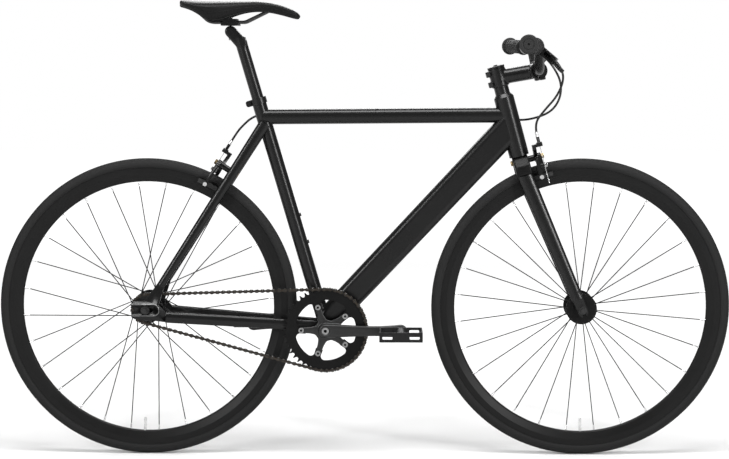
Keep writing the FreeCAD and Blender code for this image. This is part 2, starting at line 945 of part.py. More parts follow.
def toothed_face(centre, teeth, gap_angle, side):
    """Flat toothed outline: a round seat for each roller and a blunt tooth between seats."""
    radius = pitch_radius(teeth)
    seat = roller_radius + roller_seat_gap
    tip = radius + tooth_height
    step = 360.0 / teeth
    spread = math.radians(seat_spread)
    tip_turn = math.degrees(tooth_tip_width / 2 / tip)
    edges = []
    last = None
    first = None
    for k in range(teeth):
        turn = gap_angle + k * step
        middle = at_angle(centre, radius, turn, side)
        inward = unit(at_angle(centre, 0, 0, side) - middle)
        across = unit(at_angle(centre, radius, turn + 90, side) - at_angle(centre, 0, 0, side))
        start = middle + inward * (seat * math.cos(spread)) - across * (seat * math.sin(spread))
        end = middle + inward * (seat * math.cos(spread)) + across * (seat * math.sin(spread))
        tip_before = at_angle(centre, tip, turn - step / 2 + tip_turn, side)
        tip_after = at_angle(centre, tip, turn + step / 2 - tip_turn, side)
        if last is not None:
            edges.append(Part.LineSegment(last, tip_before).toShape())
        else:
            first = tip_before
        edges.append(Part.LineSegment(tip_before, start).toShape())
        edges.append(Part.Arc(start, middle + inward * seat, end).toShape())
        edges.append(Part.LineSegment(end, tip_after).toShape())
        last = tip_after
    edges.append(Part.LineSegment(last, first).toShape())
    return Part.Face(Part.Wire(edges))


def disc(centre, radius, side, width):
    start = centre + left * side
    return cylinder(start, start + left * width, radius)


def spider_turns():
    step = 360.0 / ring_bolt_count
    return [step / 2 + k * step for k in range(ring_bolt_count)]


def beside_arm(turn, run, offset, side):
    """A point at a distance along a spider arm and beside it."""
    return at_angle(at_angle(bracket, run, turn), offset, turn + 90, side)


def ring_windows(side, width):
    """The rounded windows between the spider arms, through one layer of the ring or spider."""
    near = spider_root_width / 2
    far = spider_tip_width / 2
    reach = ring_window_radius + ring_window_overrun
    outer = disc(bracket, ring_window_radius, side, width)
    windows = []
    for turn in spider_turns():
        other = turn + 360.0 / ring_bolt_count
        corners = [beside_arm(turn, reach, far, side), beside_arm(turn, ring_window_inner, near, side)]
        corners += [beside_arm(other, ring_window_inner, -near, side), beside_arm(other, reach, -far, side)]
        window = prism(corners, left * width).common(outer)
        upright = [edge for edge in window.Edges if edge.BoundBox.YLength > abs(width) / 2]
        upright.sort(key=lambda edge: (edge.CenterOfMass - bracket).Length)
        window = window.makeFillet(ring_window_corner, upright[-2:])
        upright = [edge for edge in window.Edges if edge.BoundBox.YLength > abs(width) / 2]
        upright.sort(key=lambda edge: (edge.CenterOfMass - bracket).Length)
        windows.append(window.makeFillet(ring_window_root_corner, upright[:2]))
    return windows


def make_chainring(gap_angle):
    """The toothed ring, open inside, with a tab at each chainring bolt and rounded windows between."""
    inner_side = -chain_line - tooth_width / 2
    plate = toothed_face(bracket, ring_teeth, gap_angle, inner_side).extrude(left * tooth_width)
    ring = plate.cut(disc(bracket, ring_opening_radius, inner_side, tooth_width))
    for window in ring_windows(inner_side, tooth_width):
        ring = ring.cut(window)
    holes = []
    for turn in spider_turns():
        hub = at_angle(bracket, ring_bolt_circle_radius, turn, inner_side)
        holes.append(cylinder(hub, hub + left * tooth_width, ring_bolt_radius + seat_gap))
    return ring.cut(Part.makeCompound(holes))


def make_sprocket(gap_angle):
    start = -chain_line - tooth_width / 2
    plate = toothed_face(rear_axle, sprocket_teeth, gap_angle, start).extrude(left * tooth_width)
    collar = disc(rear_axle, lockring_radius, start, tooth_width + sprocket_collar)
    bore = disc(rear_axle, hub_neck_radius + seat_gap, start, tooth_width + sprocket_collar)
    return plate.fuse(collar).cut(bore)


def make_lockring():
    """Slotted ring outside the sprocket."""
    start = -chain_line - tooth_width / 2 - lockring_thickness
    ring = disc(rear_axle, lockring_radius, start, lockring_thickness)
    ring = ring.cut(disc(rear_axle, hub_neck_radius + seat_gap, start, lockring_thickness))
    notches = []
    for k in range(lockring_notches):
        turn = 360.0 * k / lockring_notches
        notch = at_angle(rear_axle, lockring_radius, turn, start)
        notches.append(cylinder(notch, notch + left * lockring_thickness, lockring_notch_radius))
    return ring.cut(Part.makeCompound(notches))


def link_plate(first, second, side):
    """One figure-eight side plate between two pins."""
    run = unit(second - first)
    across = run.cross(left)
    middle = (first + second) * 0.5
    spread = math.radians(link_end_spread)
    edges = []
    corners = {}
    for end, way in ((first, run * -1), (second, run)):
        for sign in (-1, 1):
            turn = across * (sign * math.cos(spread)) - way * math.sin(spread)
            corners[(end is second, sign)] = end + turn * link_plate_radius
    for sign in (-1, 1):
        waist = middle + across * (sign * link_waist_radius)
        edges.append(Part.Arc(corners[(False, sign)], waist, corners[(True, sign)]).toShape())
    edges.append(Part.Arc(corners[(False, -1)], first - run * link_plate_radius, corners[(False, 1)]).toShape())
    edges.append(Part.Arc(corners[(True, -1)], second + run * link_plate_radius, corners[(True, 1)]).toShape())
    face = Part.Face(Part.Wire(Part.__sortEdges__(edges)))
    face.translate(left * side)
    return face.extrude(left * link_plate_thickness)


def make_chain(pins):
    """Outer links carry the pins, inner links the rollers, by turns."""
    inner_face = roller_width / 2
    outer_face = inner_face + link_plate_thickness + link_side_gap
    outer_links = []
    inner_links = []
    for k in range(chain_links):
        first = pins[k][1] - left * chain_line
        second = pins[(k + 1) % chain_links][1] - left * chain_line
        if k % 2 == 0:
            pieces = [link_plate(first, second, outer_face)]
            pieces.append(link_plate(first, second, -outer_face - link_plate_thickness))
            reach = left * (outer_face + link_plate_thickness + pin_head)
            for pin in (first, second):
                pieces.append(cylinder(pin - reach, pin + reach, chain_pin_radius))
            outer_links.append(fuse(pieces))
        else:
            pieces = [link_plate(first, second, inner_face)]
            pieces.append(link_plate(first, second, -inner_face - link_plate_thickness))
            reach = left * inner_face
            through = left * outer_face
            for pin in (first, second):
                pieces.append(cylinder(pin - reach, pin + reach, roller_radius))
            whole = fuse(pieces)
            for pin in (first, second):
                whole = whole.cut(cylinder(pin - through, pin + through, chain_pin_radius + chain_pin_gap))
            inner_links.append(whole)
    return outer_links, inner_links


pins = chain_pins()
ring_gap = first_gap(pins, "ring", bracket)
sprocket_gap = first_gap(pins, "sprocket", rear_axle)
outer_links, inner_links = make_chain(pins)
save("chain_outer_links", outer_links)
save("chain_inner_links", inner_links)
save("chainring", make_chainring(ring_gap))
save("rear_sprocket", [make_sprocket(sprocket_gap), make_lockring()])


# Bottom bracket, cranks and pedals


def make_shell():
    half = left * (shell_width / 2)
    return tube(bracket - half, bracket + half, shell_radius, shell_bore_radius)


def make_cup(sign):
    """Threaded cup with its flange outside the shell and a plain bore for the spindle."""
    way = left * sign
    face = bracket + way * (shell_width / 2)
    flange = cylinder(face, face + way * cup_flange_thickness, cup_flange_radius)
    body = cylinder(face, face - way * cup_depth, shell_bore_radius - seat_gap)
    bore = cylinder(face - way * cup_depth, face + way * cup_flange_thickness, spindle_radius + running_gap)
    return flange.fuse(body).cut(bore)


crank_outer = crank_inner + crank_thickness
spindle_end = spindle_length / 2
crank_seat_side = crank_inner - crank_boss_depth


def square_bar(centre, size, start, end):
    half = size / 2
    corner = centre + V(-half, start, -half)
    return block(corner, V(size, 0, 0), V(0, 0, size), left * (end - start))


def make_spindle():
    """Round spindle with a squared end and a threaded bolt hole at each side."""
    rod = cylinder(bracket - left * crank_seat_side, bracket + left * crank_seat_side, spindle_radius)
    pieces = [rod]
    holes = []
    for sign in (-1, 1):
        pieces.append(square_bar(bracket, spindle_square, sign * crank_seat_side, sign * spindle_end))
        end = bracket + left * (sign * spindle_end)
        holes.append(cylinder(end, end - left * (sign * crank_bolt_depth), crank_bolt_radius + seat_gap))
    return fuse(pieces).cut(Part.makeCompound(holes))


def crank_outline(run, side):
    """Side outline of a crank arm: round boss, long waist and a rounder tip."""
    start = bracket + left * side
    up = V(0, 0, 1)
    tip = start + run * crank_length
    waist = crank_waist_height / 2
    root = crank_root_height / 2
    flare = run * crank_tip_flare
    upper = [start + up * root, start + run * crank_root_reach + up * (root - crank_root_fall)]
    upper += [tip - flare + up * waist, tip - run * crank_tip_shoulder + up * crank_tip_radius]
    lower = [point - up * (2 * (point.z - start.z)) for point in upper]
    edges = []
    for points in (upper, lower):
        curve = Part.BSplineCurve()
        curve.interpolate(points)
        edges.append(curve.toShape())
    end_point = tip + run * crank_tip_radius
    edges.append(Part.Arc(upper[-1], end_point, lower[-1]).toShape())
    back = start - run * root
    edges.append(Part.Arc(upper[0], back, lower[0]).toShape())
    return Part.Face(Part.Wire(Part.__sortEdges__(edges)))


def make_crank_arm(sign, run):
    inside = sign * crank_inner
    way = left * sign
    arm = crank_outline(run, inside).extrude(way * crank_thickness)
    rims = []
    for edge in arm.Edges:
        flat = edge.BoundBox.YLength < free_gap
        if flat and abs(edge.BoundBox.YMin - sign * crank_outer) < free_gap:
            rims.append(edge)
    arm = arm.makeFillet(crank_edge_fillet, rims)
    centre = bracket + way * crank_seat_side
    boss = cylinder(centre, bracket + way * crank_inner, crank_boss_radius)
    pieces = [arm, boss]
    if sign < 0:
        pieces.extend(make_spider_arms())
    body = fuse(pieces)
    square = square_bar(bracket, spindle_square + 2 * seat_gap, sign * crank_seat_side, sign * spindle_end)
    outside = way * crank_outer
    bolt_room = cylinder(bracket + way * spindle_end, bracket + outside, crank_bolt_head_radius + free_gap)
    pedal_eye = bracket + run * crank_length
    pedal_hole = cylinder(pedal_eye + way * crank_inner, pedal_eye + outside, pedal_axle_radius + seat_gap)
    body = body.cut(square).cut(bolt_room).cut(pedal_hole)
    if sign < 0:
        body = body.cut(Part.makeCompound(spider_holes()))
    return largest(body)


def make_spider_arms():
    """Five tapered arms from the boss to the chainring bolts, outside the ring."""
    start = -chain_line - tooth_width / 2 - spider_thickness
    width = left * spider_thickness
    pieces = [disc(bracket, spider_hub_radius, start, spider_thickness)]
    for turn in spider_turns():
        root = at_angle(bracket, crank_boss_radius / 2, turn, start)
        tip = at_angle(bracket, ring_bolt_circle_radius, turn, start)
        pieces.append(bar(root, tip, spider_root_width / 2, spider_tip_width / 2, width))
    whole = fuse(pieces)
    for window in ring_windows(start, spider_thickness):
        whole = whole.cut(window)
    return [whole]


def spider_holes():
    start = -chain_line - tooth_width / 2
    holes = []
    for turn in spider_turns():
        hole = at_angle(bracket, ring_bolt_circle_radius, turn, start)
        holes.append(cylinder(hole, hole - left * spider_thickness, ring_bolt_radius + seat_gap))
    return holes


def make_crank_bolts():
    """Chainring bolts with a head on each side, and the two crank bolts."""
    outer = -chain_line - tooth_width / 2 - spider_thickness
    inner = -chain_line + tooth_width / 2
    bolts = []
    for turn in spider_turns():
        head = at_angle(bracket, ring_bolt_circle_radius, turn, outer)
        nut = at_angle(bracket, ring_bolt_circle_radius, turn, inner)
        shank = cylinder(head, nut, ring_bolt_radius)
        cap = cylinder(head, head - left * ring_bolt_head_height, ring_bolt_head_radius)
        socket = hexagon(head - left * ring_bolt_head_height, ring_bolt_socket_radius, left * ring_bolt_socket_depth)
        back = cylinder(nut, nut + left * ring_bolt_head_height, ring_bolt_head_radius)
        bolts.append(fuse([shank, cap, back]).cut(socket))
    for sign in (-1, 1):
        way = left * sign
        seat = bracket + way * spindle_end
        shank = cylinder(seat, seat - way * (crank_bolt_depth - free_gap), crank_bolt_radius)
        cap = cylinder(seat, seat + way * crank_bolt_head_height, crank_bolt_head_radius)
        top = seat + way * crank_bolt_head_height
        socket = hexagon(top, crank_bolt_radius, way * -crank_bolt_socket_depth)
        bolts.append(shank.fuse(cap).cut(socket))
    return bolts


def make_pedal_axle(sign, run):
    way = left * sign
    eye = bracket + run * crank_length
    inside = eye + way * crank_inner
    collar = eye + way * crank_outer
    end = collar + way * pedal_axle_length
    rod = cylinder(inside, end, pedal_axle_radius)
    return rod.fuse(cylinder(collar, collar + way * pedal_collar_width, pedal_collar_radius))


def make_pedal(sign, run):
    """Cage pedal: barrel, two arms across it and two toothed plates joined by end plates."""
    way = left * sign
    eye = bracket + run * crank_length
    near = crank_outer + pedal_collar_width + free_gap
    far = crank_outer + pedal_axle_length + free_gap
    barrel_start = eye + way * near
    barrel_end = eye + way * (far + pedal_cap_thickness)
    barrel = cylinder(barrel_start, barrel_end, pedal_barrel_radius)
    half = pedal_length / 2
    rise = pedal_height / 2
    ahead = V(1, 0, 0)
    up = V(0, 0, 1)
    inner_end = eye + way * (near + pedal_plate_inset)
    cage_width = pedal_width
    pieces = [barrel]
    for reach in (0.0, cage_width - pedal_plate):
        corner = inner_end + way * reach - ahead * half - up * rise
        plate = block(corner, ahead * pedal_length, up * pedal_height, way * pedal_plate)
        for sign_x in (-1, 1):
            window = inner_end + way * reach + ahead * (sign_x * pedal_window_place - pedal_window_length / 2)
            window = window - up * (pedal_window_height / 2)
            plate = plate.cut(block(window, ahead * pedal_window_length, up * pedal_window_height, way * pedal_plate))
        pieces.append(plate)
    for sign_x in (-1, 1):
        corner = inner_end + ahead * (sign_x * half) - up * rise
        pieces.append(block(corner, way * cage_width, up * pedal_height, ahead * (-sign_x * pedal_plate)))
    cage = fuse(pieces)
    notches = []
    step = cage_width / pedal_tooth_count
    for sign_x in (-1, 1):
        for sign_z in (-1, 1):
            for k in range(pedal_tooth_count):
                middle = inner_end + way * (step * (k + 0.5)) + ahead * (sign_x * half) + up * (sign_z * rise)
                side = way * (step / 4)
                points = [middle - side, middle + side, middle - up * (sign_z * pedal_tooth_depth)]
                notches.append(prism(points, ahead * (-sign_x * pedal_plate)))
    cage = cage.cut(Part.makeCompound(notches))
    bore = cylinder(barrel_start, eye + way * far, pedal_axle_radius + running_gap)
    return cage.cut(bore)


ahead = V(1, 0, 0)
save("bottom_bracket_shell", make_shell())
save("bottom_bracket_cups", [make_cup(sign) for sign in (-1, 1)])
save("bracket_spindle", make_spindle())
save("crank_arm_right", make_crank_arm(-1, ahead))
save("crank_arm_left", make_crank_arm(1, ahead * -1))
save("crank_bolts", make_crank_bolts())
save("pedal_axles", [make_pedal_axle(-1, ahead), make_pedal_axle(1, ahead * -1)])
save("pedal_right", make_pedal(-1, ahead))
save("pedal_left", make_pedal(1, ahead * -1))


# Frame tubes, each cut to fit the ones that it meets


seat_tube_top = on_seat(seat_tube_length)
head_low = on_steer(head_bottom)
head_high = on_steer(head_top)
head_solid = cylinder(head_low, head_high, head_tube_radius)
seat_solid = cylinder(bracket, seat_tube_top, seat_tube_radius)
shell_solid = cylinder(bracket - left * (shell_width / 2), bracket + left * (shell_width / 2), shell_radius)


def make_head_tube():
    """Head tube with a seat for a bearing at each end."""
    body = head_solid.cut(cylinder(head_low, head_high, head_tube_bore_radius))
    low_seat = cylinder(head_low, on_steer(head_bottom + headset_bearing_height), headset_bearing_radius)
    high_seat = cylinder(on_steer(head_top - headset_bearing_height), head_high, headset_bearing_radius)
    return body.cut(low_seat).cut(high_seat)


def make_headset_bearings():
    outer = headset_bearing_radius - seat_gap
    inner = steerer_radius + running_gap
    low = tube(head_low, on_steer(head_bottom + headset_bearing_height), outer, inner)
    high = tube(on_steer(head_top - headset_bearing_height), head_high, outer, inner)
    return [low, high]


def make_seat_tube():
    """Seat tube, bored for the post, with a clamping slot at the back of its top."""
    bore = cylinder(bracket, seat_tube_top, seatpost_radius + running_gap)
    corner = on_seat(seat_tube_length - seat_slot_depth, 0, -seat_collar_slot / 2)
    rearward = (on_seat(0, -1) - bracket) * (2 * seat_tube_radius)
    slot = block(corner, rearward, left * seat_collar_slot, seat_up * (2 * seat_slot_depth))
    return largest(seat_solid.cut(bore).cut(shell_solid).cut(slot))


def lofted_tube(start, end, half_low, half_high, half_width, corner, wall):
    """A tube of rounded rectangular section between two points, open at both ends."""
    run = unit(end - start)
    rise = run.cross(left)
    skins = []
    for inset in (0.0, wall):
        wires = []
        for centre, half in ((start, half_low), (end, half_high)):
            flat = left * (half_width - inset)
            wires.append(rounded_rectangle(centre, rise * (half - inset), flat, corner - inset))
        skins.append(loft(wires))
    return skins[0], skins[1]


top_tube_rear = on_seat(seat_tube_length - top_tube_seat_drop)
top_tube_front = on_steer(head_top - top_tube_head_drop)
top_outer, top_inner = lofted_tube(top_tube_rear, top_tube_front, top_tube_height / 2, top_tube_height / 2,
                                   top_tube_width / 2, top_tube_corner, tube_wall_thickness)
down_foot = on_seat(down_tube_foot)
down_head = on_steer(head_bottom + down_tube_head_rise)
down_outer, down_inner = lofted_tube(down_foot, down_head, down_tube_depth_low / 2, down_tube_depth_high / 2,
                                     down_tube_width / 2, down_tube_corner, tube_wall_thickness)
down_solid = largest(down_outer.cut(head_solid).cut(seat_solid).cut(shell_solid))


def stay_pair(start, end, start_half, end_half, start_width, end_width, wall):
    """Two mirrored hollow oval stays; start and end are on the left side."""
    stays = []
    for sign in (-1, 1):
        near = V(start.x, sign * start.y, start.z)
        far = V(end.x, sign * end.y, end.z)
        run = unit(far - near)
        flat = unit(left - run * left.dot(run))
        rise = run.cross(flat)
        skins = []
        for inset in (0.0, wall):
            wires = []
            for centre, half, width in ((near, start_half, start_width), (far, end_half, end_width)):
                wires.append(oval(centre, rise * (half - inset), flat * (width - inset)))
            skins.append(loft(wires))
        stays.append(skins)
    return stays


plate_middle = rear_dropout_gap / 2 + dropout_thickness / 2
seatstay_top = on_seat(seat_tube_length - seatstay_top_drop, 0, seatstay_side_top)
seatstay_run = unit(V(seatstay_top.x, 0, seatstay_top.z) - rear_axle)
seatstay_foot = rear_axle + seatstay_run * seatstay_end_reach + left * plate_middle
chainstay_front = bracket + V(0, chainstay_side_front, chainstay_rise_front)
chainstay_end = rear_axle + V(chainstay_end_reach, plate_middle, -chainstay_drop_rear)
seatstay_skins = stay_pair(seatstay_foot, seatstay_top, seatstay_depth_bottom / 2, seatstay_depth_top / 2,
                           seatstay_width / 2, seatstay_width / 2, stay_wall)
chainstay_skins = stay_pair(chainstay_end, chainstay_front, chainstay_depth / 2, chainstay_depth / 2,
                            chainstay_width_rear / 2, chainstay_width_front / 2, stay_wall)


def make_dropout(sign):
    """Rear dropout plate: an open track slot inside a raised border, with a tang into each stay."""
    inside = left * (sign * rear_dropout_gap / 2)
    way = left * sign
    half = dropout_height / 2
    rear = -dropout_rear_reach
    stay_across = V(-seatstay_run.z, 0, seatstay_run.x) * (seatstay_depth_bottom / 2)
    stay_end = seatstay_run * seatstay_end_reach
    chain_end = V(chainstay_end_reach, 0, -chainstay_drop_rear)
    chain_half = V(0, 0, chainstay_depth / 2 - dropout_tang_step)
    outline = [
        V(rear, 0, -half),
        V(rear, 0, half),
        V(0, 0, half + dropout_brow),
        stay_end + stay_across,
        stay_end - stay_across,
        chain_end + V(-dropout_throat, 0, chainstay_depth / 2 + dropout_throat),
        chain_end + chain_half,
        chain_end - chain_half,
        V(0, 0, -half - dropout_brow),
    ]
    plate = prism([rear_axle + inside + point for point in outline], way * dropout_thickness)
    corners = []
    for edge in plate.Edges:
        middle = edge.CenterOfMass - rear_axle
        if edge.BoundBox.YLength > dropout_thickness / 2 and middle.x < chainstay_end_reach / 2:
            corners.append(edge)
    plate = plate.makeFillet(dropout_corner, corners)
    outside = rear_axle + inside + way * dropout_thickness
    slot_half = rear_axle_radius + seat_gap
    border_rear = outside - ahead * (dropout_rear_reach - dropout_border_inset)
    border_front = outside + ahead * dropout_slot_front
    border = bar(border_rear, border_front, dropout_boss_height / 2, dropout_boss_height / 2, way * dropout_boss_proud)
    room = dropout_boss_height / 2 - dropout_rim_width
    recess = bar(border_rear - ahead * dropout_rear_reach, border_front, room, room, way * dropout_boss_proud)
    keep_rear = block(outside - ahead * dropout_rear_reach - V(0, 0, dropout_height), V(0, 0, 2 * dropout_height),
                      ahead * (2 * dropout_height), way * dropout_boss_proud)
    body = plate.fuse(border.common(keep_rear).cut(recess))
    slot_start = rear_axle + inside - ahead * (2 * dropout_rear_reach)
    slot_end = rear_axle + inside + ahead * (dropout_slot_front - slot_half)
    slot = bar(slot_start, slot_end, slot_half, slot_half, way * (dropout_thickness + dropout_boss_proud))
    return largest(body.cut(slot))


dropouts = [make_dropout(sign) for sign in (-1, 1)]
brake_way = seatstay_run
rear_brake_point = rear_axle + brake_way * rear_brake_hole
rear_brake_back = V(-brake_way.z, 0, brake_way.x)
stay_share = (rear_brake_hole - seatstay_end_reach) / ((V(seatstay_top.x, 0, seatstay_top.z) - rear_axle).Length
                                                        - seatstay_end_reach)
bridge_half = plate_middle + (seatstay_side_top - plate_middle) * stay_share
bridge_solid = cylinder(rear_brake_point - left * bridge_half, rear_brake_point + left * bridge_half, bridge_radius)
stay_hole = cylinder(rear_brake_point - rear_brake_back * seatstay_depth_top,
                     rear_brake_point + rear_brake_back * seatstay_depth_top, brake_bolt_radius + seat_gap)

seatstays = []
for outer, inner in seatstay_skins:
    cutters = [seat_solid, top_outer] + dropouts
    shape = outer.cut(inner)
    for cutter in cutters:
        shape = shape.cut(cutter)
    seatstays.append(largest(shape))
chainstays = []
for outer, inner in chainstay_skins:
    shape = outer.cut(inner)
    for cutter in [shell_solid, seat_solid, down_solid] + dropouts:
        shape = shape.cut(cutter)
    chainstays.append(largest(shape))
stay_outers = [outer for outer, _ in seatstay_skins]
bridge = bridge_solid.cut(stay_hole)
for outer in stay_outers:
    bridge = bridge.cut(outer)


def rear_cable_points():
    """Rear brake cable route: left lever, past the head tube, inside the top tube, to the caliper."""
    start = lever_point(1, -lever_block_inner - barrel_length, barrel_reach, 0)
    away = lever_point(1, -lever_block_inner - barrel_length - cable_lead, barrel_reach, 0)
    end = rear_caliper_point(adjuster_face, -cable_side, adjuster_height + adjuster_block_height + adjuster_length)
    above = rear_caliper_point(adjuster_face, -cable_side,
                               adjuster_height + adjuster_block_height + adjuster_length + cable_lead)
    top_way = unit(top_tube_front - top_tube_rear)
    inlet = top_tube_front - top_way * 70
    outlet = top_tube_rear + top_way * 44
    side = top_tube_width / 2
    return [
        start,
        away,
        head_high + V(116.7, 56, 68.7),
        head_high + V(133.7, 46, 34.7),
        head_high + V(131.7, 39, -1.3),
        head_high + V(112.7, 35, -31.3),
        head_high + V(76.7, 34, -47.3),
        head_high + V(36.7, 33, -53.3),
        inlet + left * (side + 8) + V(12, 0, -4),
        inlet + left * (side - 7) - V(36, 0, 0),
        inlet + left * 4 - V(84, 0, 0),
        top_tube_rear + (top_tube_front - top_tube_rear) * 0.6 + left * 2 + V(0, 0, 1),
        top_tube_rear + (top_tube_front - top_tube_rear) * 0.4 + left * 3 + V(0, 0, -1),
        outlet + left * (side - 12) + V(48, 0, 3),
        outlet + left * (side - 1) + V(10, 0, 7),
        outlet + left * (side + 8) + V(-28, 0, 9),
        seat_tube_top + V(-13.5, 33, -41.8),
        seat_tube_top + V(-41.5, 38, -67.8),
        above,
        end,
    ]


# Fork and cockpit


def make_steerer():
    """Steerer tube with the fork crown: a shouldered arch over the tyre."""
    shoulder = fork_crown_height - crown_shoulder_drop
    arch_half = tyre_width / 2 + fork_arch_gap
    outer_half = arch_half + fork_blade_width_top
    arch_top = front_brake_hole - crown_hole_wall
    start = -crown_depth / 2
    neck = crown_race_radius + crown_neck_gap
    upper = fork_crown_height - crown_neck_drop

    def at(side, height):
        return on_steer(height, start, side)

    edges = [
        Part.LineSegment(at(-neck, fork_crown_height), at(neck, fork_crown_height)).toShape(),
        Part.LineSegment(at(neck, fork_crown_height), at(outer_half, upper)).toShape(),
        Part.LineSegment(at(outer_half, upper), at(outer_half, shoulder)).toShape(),
        Part.LineSegment(at(outer_half, shoulder), at(arch_half, shoulder)).toShape(),
        Part.Arc(at(arch_half, shoulder), at(0, arch_top), at(-arch_half, shoulder)).toShape(),
        Part.LineSegment(at(-arch_half, shoulder), at(-outer_half, shoulder)).toShape(),
        Part.LineSegment(at(-outer_half, shoulder), at(-outer_half, upper)).toShape(),
        Part.LineSegment(at(-outer_half, upper), at(-neck, fork_crown_height)).toShape(),
    ]
    crown = Part.Face(Part.Wire(edges)).extrude(steer_front * crown_depth)
    rounds = []
    for edge in crown.Edges:
        middle = edge.CenterOfMass - steer_foot
        height = middle.dot(steer_up)
        across = abs(abs(middle.dot(steer_front)) - crown_depth / 2) > free_gap
        if across and height > shoulder + free_gap:
            rounds.append(edge)
    crown = crown.makeFillet(crown_round, rounds)
    race = cylinder(on_steer(fork_crown_height), on_steer(fork_crown_height + crown_race_height), crown_race_radius)
    rod = cylinder(on_steer(fork_crown_height - crown_round), on_steer(steerer_top), steerer_radius)
    body = fuse([crown, race, rod])
    bore = cylinder(on_steer(fork_crown_height), on_steer(steerer_top), steerer_radius - steerer_wall)
    hole = cylinder(on_steer(front_brake_hole, -crown_depth), on_steer(front_brake_hole, crown_depth), brake_bolt_radius + seat_gap)
    return body.cut(bore).cut(hole)


def make_fork_blade(sign):
    """Tapered oval blade with a slotted end plate for the front axle."""
    shoulder = fork_crown_height - crown_shoulder_drop
    arch_half = tyre_width / 2 + fork_arch_gap
    top = on_steer(shoulder, 0, sign * (arch_half + fork_blade_width_top / 2))
    plate_side = sign * (front_dropout_gap / 2 + fork_end_thickness / 2)
    axle = front_axle + left * plate_side
    run = unit(axle - top)
    low = axle - run * fork_end_reach
    flat = unit(left - run * left.dot(run))
    deep = run.cross(flat)
    skins = []
    for inset in (0.0, stay_wall):
        upper = oval(top, steer_front * (fork_blade_depth_top / 2 - inset), left * (fork_blade_width_top / 2 - inset))
        lower = oval(low, deep * (fork_blade_depth_tip / 2 - inset), flat * (fork_blade_width_tip / 2 - inset))
        skins.append(loft([upper, lower]))
    inside = left * (sign * front_dropout_gap / 2)
    way = left * sign * fork_end_thickness
    down = unit(V(axle.x - top.x, 0, axle.z - top.z))
    plate = bar(front_axle + inside - down * (fork_end_reach + fork_end_overlap), front_axle + inside + down * fork_end_below,
                fork_blade_depth_tip / 2 - stay_wall, fork_end_radius, way)
    slot_half = front_axle_radius + seat_gap
    slot = bar(front_axle + inside, front_axle + inside + down * (3 * fork_end_radius), slot_half, slot_half, way)
    cap = cylinder(low - run * stay_wall, low + run * free_gap, fork_blade_depth_tip)
    blade = skins[0].cut(skins[1].cut(cap))
    return largest(blade.fuse(plate).cut(slot))


cover_low = head_top + free_gap
spacer_low = cover_low + headset_cover_height
stem_low = spacer_low + spacer_count * spacer_height
stem_middle = stem_low + stem_clamp_height / 2
stem_high = stem_low + stem_clamp_height
steerer_top = stem_high - steerer_recess
bar_centre = on_steer(stem_middle) + V(math.cos(math.radians(stem_rise)), 0, math.sin(math.radians(stem_rise))) * stem_length
stem_way = unit(bar_centre - on_steer(stem_middle))


def make_spacers():
    """Headset cover, spacers and top cap, in order up the steerer."""
    bore = steerer_radius + seat_gap
    cover = Part.makeCone(head_tube_radius, spacer_radius, headset_cover_height, on_steer(cover_low), steer_up)
    pieces = [cover.cut(cylinder(on_steer(cover_low), on_steer(spacer_low), bore))]
    for k in range(spacer_count):
        low = spacer_low + k * spacer_height
        pieces.append(tube(on_steer(low), on_steer(low + spacer_height), spacer_radius, bore))
    cap = cylinder(on_steer(stem_high), on_steer(stem_high + top_cap_height), stem_clamp_radius)
    rim = [edge for edge in cap.Edges if (edge.CenterOfMass - on_steer(stem_high + top_cap_height)).Length < free_gap]
    cap = cap.makeFillet(top_cap_height / 2, rim)
    plug = cylinder(on_steer(stem_high - steerer_recess), on_steer(stem_high), steerer_radius)
    pieces.append(cap.fuse(plug))
    return pieces


def stem_ear(front, side, height):
    return on_steer(height, front, side)


def make_stem():
    """Stem: steerer clamp with a split ear at the back, neck and the rear half of the bar clamp."""
    clamp = cylinder(on_steer(stem_low), on_steer(stem_high), stem_clamp_radius)
    neck = cylinder(on_steer(stem_middle), bar_centre, stem_radius)
    face_half = left * (stem_face_width / 2)
    eye = cylinder(bar_centre - face_half, bar_centre + face_half, stem_face_radius)
    ears = []
    for low in (stem_low + stem_ear_inset, stem_high - stem_ear_inset - stem_ear_height):
        corner = on_steer(low, -stem_ear_reach, -stem_ear_width / 2)
        ears.append(block(corner, left * stem_ear_width, steer_up * stem_ear_height, steer_front * stem_ear_reach))
    body = fuse([clamp, neck, eye] + ears)
    tabs = [face_bolt_tab(sign, side) for sign in (-1, 1) for side in (-1, 1)]
    body = fuse([body] + tabs)
    body = body.cut(cylinder(on_steer(stem_low), on_steer(stem_high), steerer_radius + seat_gap))
    body = body.cut(cylinder(bar_centre - face_half, bar_centre + face_half, bar_centre_radius + seat_gap))
    slot = block(on_steer(stem_low, -2 * stem_ear_reach, -stem_slot / 2), left * stem_slot,
                 steer_up * stem_clamp_height, steer_front * (2 * stem_ear_reach))
    body = body.cut(slot)
    for height in stem_bolt_heights():
        start = on_steer(height, -stem_bolt_back, -stem_ear_width)
        body = body.cut(cylinder(start, start + left * (2 * stem_ear_width), clamp_bolt_radius + seat_gap))
    for sign in (-1, 1):
        for side in (-1, 1):
            start, end = face_bolt_line(sign, side)
            body = body.cut(cylinder(start, end, clamp_bolt_radius + seat_gap))
            body = body.cut(cylinder(end, end + stem_way * stem_face_width, clamp_bolt_head_radius + free_gap))
    return body


def stem_bolt_heights():
    inset = stem_ear_inset + stem_ear_height / 2
    return [stem_low + inset, stem_high - inset]


def face_bolt_line(sign, side):
    """Axis of one faceplate bolt, through the plate into the stem."""
    stem_rise_way = stem_way.cross(left)
    middle = bar_centre + stem_rise_way * (sign * face_bolt_rise) + left * (side * face_bolt_side)
    return middle - stem_way * face_bolt_depth, middle + stem_way * face_bolt_front


def face_bolt_tab(sign, side):
    start, end = face_bolt_line(sign, side)
    return cylinder(start, end, face_tab_radius)


